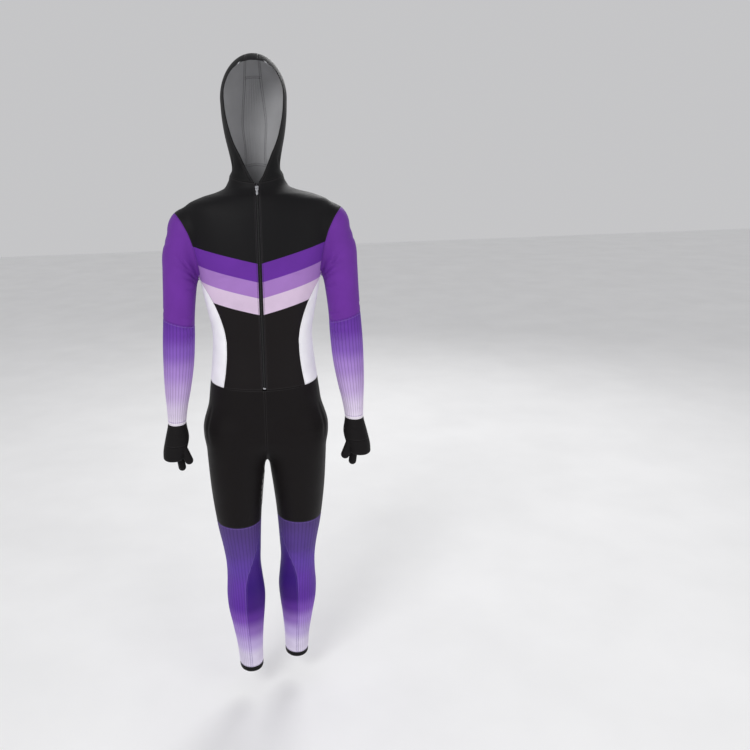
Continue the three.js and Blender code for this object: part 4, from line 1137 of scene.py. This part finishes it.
# Where the cloth creases: turn and height of the start, middle and end, width and depth. On the arm
# turns go from the inside by the front, and on the leg from the outside by the front.
add_creases("arm", (-1, 1), [
    (24, -222, 62, -196, 104, -182, 6, 2.2), (10, -236, 52, -217, 96, -208, 5, 1.8),
    (18, -254, 50, -243, 84, -238, 6, 1.3), (40, -202, 70, -180, 96, -160, 5, 1.7),
    (62, -188, 84, -164, 112, -150, 5, 1.2), (350, -222, 318, -200, 282, -186, 6, 2.1),
    (356, -240, 320, -224, 288, -214, 5, 1.7), (344, -208, 316, -184, 292, -162, 5, 1.5),
    (338, -262, 312, -250, 286, -246, 6, 1.1), (320, -198, 300, -178, 284, -150, 4, 1.2),
    (8, -333, 58, -349, 104, -342, 6, 1.4), (2, -358, 48, -371, 98, -364, 5, 1.2),
    (12, -312, 44, -320, 84, -314, 6, 0.9), (20, -386, 56, -392, 92, -388, 7, 0.8),
    (150, -296, 196, -304, 236, -298, 8, 0.8), (120, -132, 158, -124, 196, -134, 9, 0.9),
    (70, -566, 118, -575, 160, -569, 6, 0.9), (250, -556, 300, -566, 350, -560, 6, 0.9),
    (30, -618, 80, -626, 130, -620, 4, 1.1), (200, -614, 252, -624, 306, -616, 4, 1.1),
])
add_creases("leg", (-1, 1), [
    (176, -652, 150, -628, 116, -612, 8, 1.3), (172, -676, 146, -660, 112, -652, 7, 1.0),
    (186, -654, 214, -634, 246, -622, 8, 1.3), (188, -682, 220, -668, 250, -664, 7, 0.9),
    (38, -560, 33, -612, 36, -668, 9, 1.3), (52, -1004, 92, -1016, 136, -1008, 8, 0.9),
    (64, -1036, 96, -1044, 124, -1038, 7, 0.7), (232, -992, 268, -1006, 306, -998, 6, 1.5),
    (226, -1022, 262, -1031, 300, -1024, 6, 1.2), (240, -968, 272, -976, 300, -970, 7, 0.9),
    (40, -1338, 88, -1346, 132, -1339, 5, 0.9), (70, -1362, 104, -1368, 150, -1361, 4, 0.8),
    (210, -1330, 258, -1341, 300, -1333, 6, 1.1), (226, -1358, 268, -1366, 316, -1360, 5, 0.9),
    (252, -700, 262, -770, 258, -850, 12, 0.8),
])
add_creases("trunk", (-1, 1), [
    (96, -372, 118, -382, 140, -376, 9, 0.9), (90, -402, 112, -410, 134, -404, 9, 0.8),
    (142, -428, 160, -436, 177, -431, 10, 0.9), (148, -392, 164, -399, 178, -395, 9, 0.7),
    (30, -372, 48, -380, 62, -377, 10, 0.6), (150, -204, 140, -188, 128, -178, 7, 1.1),
    (152, -228, 141, -214, 130, -206, 6, 0.9), (52, -214, 42, -206, 30, -204, 7, 0.8),
    (100, 44, 78, 62, 60, 90, 7, 1.2), (122, 52, 104, 72, 92, 104, 7, 1.0),
    (160, 74, 148, 86, 138, 106, 6, 0.9), (150, 34, 130, 40, 108, 38, 8, 0.9),
])

seams = {name: trunk_seams(side) for name, side in SIDES}
for name, side in SIDES:
    own = seams[name]
    tape = cloth(f"Zip_tape_{name}", tape_grid(side), "tape", (4, 4), seams=(True, False), lift=-0.3,
                 thickness=0.7, rough=0.0)
    cloth(f"Front_{name}", front_grid(side, own), "yoke", (7, 6),
          ([LOWER_ROWS, LOWER_ROWS + ARMHOLE_HALF], ()))
    cloth(f"Side_panel_{name}", side_grid(side, own), "white", (7, 5))
    cloth(f"Back_side_{name}", back_side_grid(side, own), "ribbed", (7, 14), ([LOWER_ROWS], ()),
          ribs=even_ribs(11))
    for part, way in (("front", 1), ("back", -1)):
        cloth(f"Shorts_{part}_{name}", shorts_grid(side, way), "black", (7, 6), ([CROTCH_ROWS], ()))
    calf = leg_grid(side, THIGH_SEAM, HEM_TOP, CALF_ROWS)
    cloth(f"Leg_inner_{name}", wrapped(calf, INNER_FROM, INNER_TO), "leg_inner", (9, 6))
    cloth(f"Leg_outer_{name}", wrapped(calf, INNER_TO, LEG_COLUMNS + INNER_FROM), "leg_outer", (9, 10),
          ribs=leg_ribs(side))
    hem = leg_grid(side, HEM_TOP, HEM, 1)
    cloth(f"Leg_hem_{name}", wrapped(hem, INNER_TO, LEG_COLUMNS + INNER_TO), "hem", (5, 5), closed=True,
          seams=(False, True))
    corners = [RING - SLEEVE_SEAM, RING - SLEEVE_SEAM + ARMHOLE_HALF, own["back_top"] + RING - SLEEVE_SEAM]
    cloth(f"Sleeve_{name}", from_sleeve_seam(sleeve_grid(side, own["ring"])), "sleeve", (9, 7),
          ((), corners))
    cuff = cloth(f"Cuff_{name}", from_sleeve_seam(arm_grid(side, [CUFF_TOP, CUFF], [0, 0])), "cuff",
                 (4, 5), closed=True, seams=(False, True))
    share = steps(FOREARM_ROWS)
    forearm = arm_grid(side, lerp(ELBOW_MIDDLE, CUFF_TOP, share), ELBOW_LEAN * (1 - share))
    cloth(f"Forearm_{name}", from_sleeve_seam(forearm), "forearm", (9, 7), ribs=even_ribs(28))
    palm = arm_grid(side, lerp(CUFF, KNUCKLES, steps(3)), np.zeros(4))
    cloth(f"Glove_palm_{name}", from_sleeve_seam(palm), "glove", (6, 5), closed=True, seams=(False, True))
    hood = hood_grid(side)
    binding = cloth(f"Hood_binding_{name}", hood[:, :2], "hood", (6, 4), lift=0.5, thickness=1.6)
    cloth(f"Hood_side_{name}", hood[:, 1:], "hood", (6, 5))

cloth("Back_centre", back_grid(seams["left"], seams["right"]), "black", (7, 5),
      ([LOWER_ROWS, LOWER_ROWS + ARMHOLE_BACK_LOW, LOWER_ROWS + ARMHOLE_HALF], ()))
strip = strip_grid()
crown_row = round(HOOD_ROWS * (CROWN_RISE + 62) / 182)
cloth("Hood_back", strip[:crown_row + 1], "hood_ribbed", (6, 10), ribs=even_ribs(8))
cloth("Hood_crown", strip[crown_row:], "hood", (6, 4))

for name, side in SIDES:
    cloth(f"Glove_fingers_{name}", fingertips_grid(side), "glove", (4, 4), closed=True, seams=(False, False))
    thumb = finger_tube(points(side * 236, -88, -640), points(side * 207, -98, -708), 11.5)
    finger = finger_tube(points(side * 241, -72, -672), points(side * 233, -69, -738), 10.5)
    for part, tube in (("thumb", thumb), ("finger", finger)):
        cloth(f"Glove_{part}_{name}", tube, "glove", (2, 2), closed=True, seams=(False, False),
              on_figure=False)

cloth("Thigh_patch_right", patch_grid(), "patch", (5, 5), lift=0.9, thickness=0.8)


def loft(path, side, wide, deep, power=3.5, count=20):
    """A bar along a path with superellipse sections, wide along side and deep across it.

    Section: (wide cos t, deep sin t), each part raised to 2 / power with its sign kept. The first
    and last sections are closed by a point.
    """
    path = np.asarray(path, float)
    side = np.broadcast_to(np.asarray(side, float), path.shape)
    deepness = unit(np.cross(np.gradient(path, axis=0), side))
    turn = 2 * math.pi * np.arange(count) / count
    a = np.sign(np.cos(turn)) * np.abs(np.cos(turn)) ** (2 / power)
    b = np.sign(np.sin(turn)) * np.abs(np.sin(turn)) ** (2 / power)
    wide, deep = (np.broadcast_to(v, len(path))[:, None, None] for v in (wide, deep))
    rings = path[:, None] + side[:, None] * wide * a[:, None] + deepness[:, None] * deep * b[:, None]
    ends = [np.repeat(path[k][None], count, axis=0) for k in (0, -1)]
    rings = np.concatenate([ends[0][None], rings, ends[1][None]])
    i, j = np.meshgrid(np.arange(len(rings) - 1), np.arange(count), indexing="ij")
    corner, after = i * count + j, i * count + (j + 1) % count
    faces = np.stack([corner, after, after + count, corner + count], axis=-1).reshape(-1, 4)
    return rings.reshape(-1, 3), faces


def together(parts):
    """Several lofts as one mesh's points and faces."""
    offsets = np.cumsum([0] + [len(verts) for verts, _ in parts[:-1]])
    faces = [f + start for (_, f), start in zip(parts, offsets)]
    return np.concatenate([verts for verts, _ in parts]), np.concatenate(faces)


def hard_piece(name, parts, kind, body=BODY, node=None):
    """Lofted parts as one piece of the zip, with its material's key and the node it stands for."""
    verts, faces = together(parts)
    made = mesh_object(name, verts, faces, {}, [MATERIALS[kind]])
    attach(made, body)
    if node:
        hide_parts(node)


# Zip: a coil in two rows of teeth, a slider, its pull tab and the stop at the foot
TOOTH_PITCH = 2.0
SLIDER = {"length": 12, "thickness": 3, "clear": 0.5}
PULL = {"thickness": 1.4}
X_AXIS = np.array([1.0, 0, 0])
Y_AXIS = np.array([0, 1.0, 0])


def framed(part, origin, up, out):
    """Moves a part from its own frame, X across, Y up and Z outwards, to a place on the suit."""
    verts, faces = part
    return origin + verts[:, :1] * X_AXIS + verts[:, 1:2] * up + verts[:, 2:] * out, faces


def bar_along_y(stations, x=0.0, z=0.0, deep=0.5, power=3.5):
    """A flat bar along Y from rows of place and half width."""
    table = np.array(stations, float)
    path = points(x, table[:, 0], z)
    depth = np.full(len(table), deep)
    depth[[0, -1]] *= 0.6
    return loft(path, X_AXIS, table[:, 1], depth, power)


tooth_x = lerp(-0.35, 2.5, steps(6))
tooth = loft(points(tooth_x, 0, 0.35 - 0.05 * tooth_x ** 2), Y_AXIS, [0.5, 0.72, 0.66, 0.6, 0.56, 0.5, 0.3],
             [0.55, 0.8, 0.7, 0.6, 0.5, 0.4, 0.2], 2.4, 8)
teeth = []
for side, shift in ((1, 0), (-1, TOOTH_PITCH / 2)):
    heights = np.arange(ZIP_FOOT + 6 + shift, CHEST_TOP - 16, TOOTH_PITCH)
    seat = cast(points(0, 0, heights), points(0, -1, 0))
    out = unit(gradient(seat) * [0, 1, 1])
    up = np.cross(out, X_AXIS)
    for k in range(len(heights)):
        verts, faces = tooth
        teeth.append(framed((verts * [side, 1, 1], faces[:, ::side]), seat[k], up[k], out[k]))
hard_piece("Zip_coil", teeth, "coil")

zip_low, zip_top = zip_point(-22), zip_point(14)
zip_up = unit(zip_top - zip_low)
zip_out = np.cross(X_AXIS, zip_up)
bulge = ((zip_point(lerp(14, -22, steps(9))) - zip_low) @ zip_out).max()
zip_seat = zip_low + zip_up * (length(zip_top - zip_low) - SLIDER["length"] / 2 - 1) + zip_out * bulge
PIVOT = {"y": 2 - PULL["thickness"] / 2,
         "z": 2 * SLIDER["clear"] + SLIDER["thickness"] + PULL["thickness"] / 2}
SHIELD = [(-6, 2.0), (-5.6, 3.0), (-4, 3.5), (0, 3.6), (2.5, 4.2), (4.6, 4.5), (5.7, 3.9), (6, 2.6)]
arch = math.pi * steps(12)
strap = points(0, PIVOT["y"] + 1.55 * np.cos(arch), PIVOT["z"] + 1.55 * np.sin(arch))
feet = [points(0, PIVOT["y"] + s * 1.55, 3.2) for s in (1, -1)]
strap = np.vstack([feet[0], strap, feet[1]])
slider_parts = [
    bar_along_y(SHIELD, z=1.0, deep=0.45), bar_along_y(SHIELD, z=2.85, deep=0.6),
    bar_along_y([(1.8, 0.4), (3, 1.3), (5, 1.7), (5.8, 0.8)], z=1.9, deep=0.9),
    bar_along_y([(-5, 0.3), (-4, 0.5), (0, 0.5), (3, 0.4)], x=-3.3, z=2.1, deep=0.9),
    bar_along_y([(-5, 0.3), (-4, 0.5), (0, 0.5), (3, 0.4)], x=3.3, z=2.1, deep=0.9),
    loft(strap, X_AXIS, 0.9, 0.32, 3.5),
]
TAB = [(-20, 0.8), (-19.7, 1.6), (-19, 2.2), (-17.5, 2.65), (-14, 2.75), (-9, 2.2), (-5, 2.2), (-3, 2.6),
       (-1.9, 2.75)]
pull_parts = [
    bar_along_y(TAB, z=PIVOT["z"], deep=0.6),
    bar_along_y([(-2.6, 0.5), (-2, 0.62), (0.9, 0.62), (1.6, 0.5)], x=-2.12, z=PIVOT["z"], deep=0.6),
    bar_along_y([(-2.6, 0.5), (-2, 0.62), (0.9, 0.62), (1.6, 0.5)], x=2.12, z=PIVOT["z"], deep=0.6),
    loft(points(lerp(-2.6, 2.6, steps(6)), PIVOT["y"], PIVOT["z"]), Y_AXIS, 0.62, 0.62, 2.0),
    bar_along_y([(-18, 0.5), (-17, 1.2), (-13, 1.3), (-12, 0.5)], z=PIVOT["z"] + 0.45, deep=0.4),
]
for title, body, parts in (("Zip_slider", BODY, slider_parts), ("Zip_pull", "zip_pull", pull_parts)):
    hard_piece(title, [framed(p, zip_seat, zip_up, zip_out) for p in parts], "metal", body, title.lower())
stop_seat = zip_point(ZIP_FOOT + 3)
stop_out = unit(gradient(stop_seat))
stop_rows = [(-2, 2.4), (-1.6, 3.2), (0, 3.4), (1.6, 3.2), (2, 2.4)]
stop = bar_along_y(stop_rows, z=SLIDER["clear"] + 0.8, deep=0.75)
stop = framed(stop, stop_seat, np.cross(stop_out, X_AXIS), stop_out)
hard_piece("Zip_stop", [stop], "metal", node="zip_stop")

# Camera: fitted to the photo's view, level with the chest, pitched down and slightly rolled
CAMERA = {"reach": 2.0, "height": 0.08, "pitch": 16.0, "roll": 2.2, "focal_px": 755.0, "centre_px": 264.0}
FRAME_PX = 750
SENSOR = 36.0
camera = bpy.data.cameras.new("camera")
camera.sensor_width = SENSOR
camera.lens = CAMERA["focal_px"] * SENSOR / FRAME_PX
camera.shift_x = (FRAME_PX / 2 - CAMERA["centre_px"]) / FRAME_PX
camera_object = bpy.data.objects.new("camera", camera)
bpy.context.scene.collection.objects.link(camera_object)
tilt = Matrix.Rotation(math.radians(90 - CAMERA["pitch"]), 4, "X")
rolled = tilt @ Matrix.Rotation(math.radians(-CAMERA["roll"]), 4, "Z")
camera_object.matrix_world = Matrix.Translation((0, -CAMERA["reach"], CAMERA["height"])) @ rolled
bpy.context.scene.camera = camera_object

# Studio: a pale floor and a pale room, with large soft lights
FLOOR_Z = -1.49


def floor():
    material, tree, shader = new_material("matt_white_paper")
    grain = add(tree, "TexNoise", {"Vector": add(tree, "TexCoord", out=3), "Scale": 3.0, "Detail": 3.0})
    tone = add(tree, "ValToRGB", {0: grain}, stops=[(0.3, "#f1f1f1"), (0.7, "#f6f6f6")])
    tree.links.new(tone, shader.inputs["Base Color"])
    shader.inputs["Roughness"].default_value = 0.9
    reach = 12000.0
    corners = np.array([[-reach, -reach, 0], [reach, -reach, 0], [reach, reach, 0], [-reach, reach, 0]])
    made = mesh_object("Floor", corners + [0, 0, FLOOR_Z / MM], np.array([[0, 1, 2, 3]]), {}, [material])


def soft_light(name, place, target, size, power):
    light = bpy.data.lights.new(name, "AREA")
    light.shape = "DISK"
    light.size = size
    light.energy = power
    made = bpy.data.objects.new(name, light)
    bpy.context.scene.collection.objects.link(made)
    made.location = place
    made.rotation_euler = (Vector(target) - Vector(place)).to_track_quat("-Z", "Y").to_euler()


floor()
soft_light("key", (-1.7, -3.0, 1.7), (0, 0, -0.5), 1.6, 58)
soft_light("fill", (2.3, -2.4, 0.3), (0, 0, -0.6), 2.2, 18)
soft_light("back", (1.2, 3.0, 1.6), (0, 0, -0.4), 1.8, 50)
world = bpy.data.worlds.new("room")
world.use_nodes = True
world.node_tree.nodes["Background"].inputs["Color"].default_value = linear("#f4f4f6")
world.node_tree.nodes["Background"].inputs["Strength"].default_value = 0.62
bpy.context.scene.world = world
bpy.context.scene.view_settings.view_transform = "Standard"
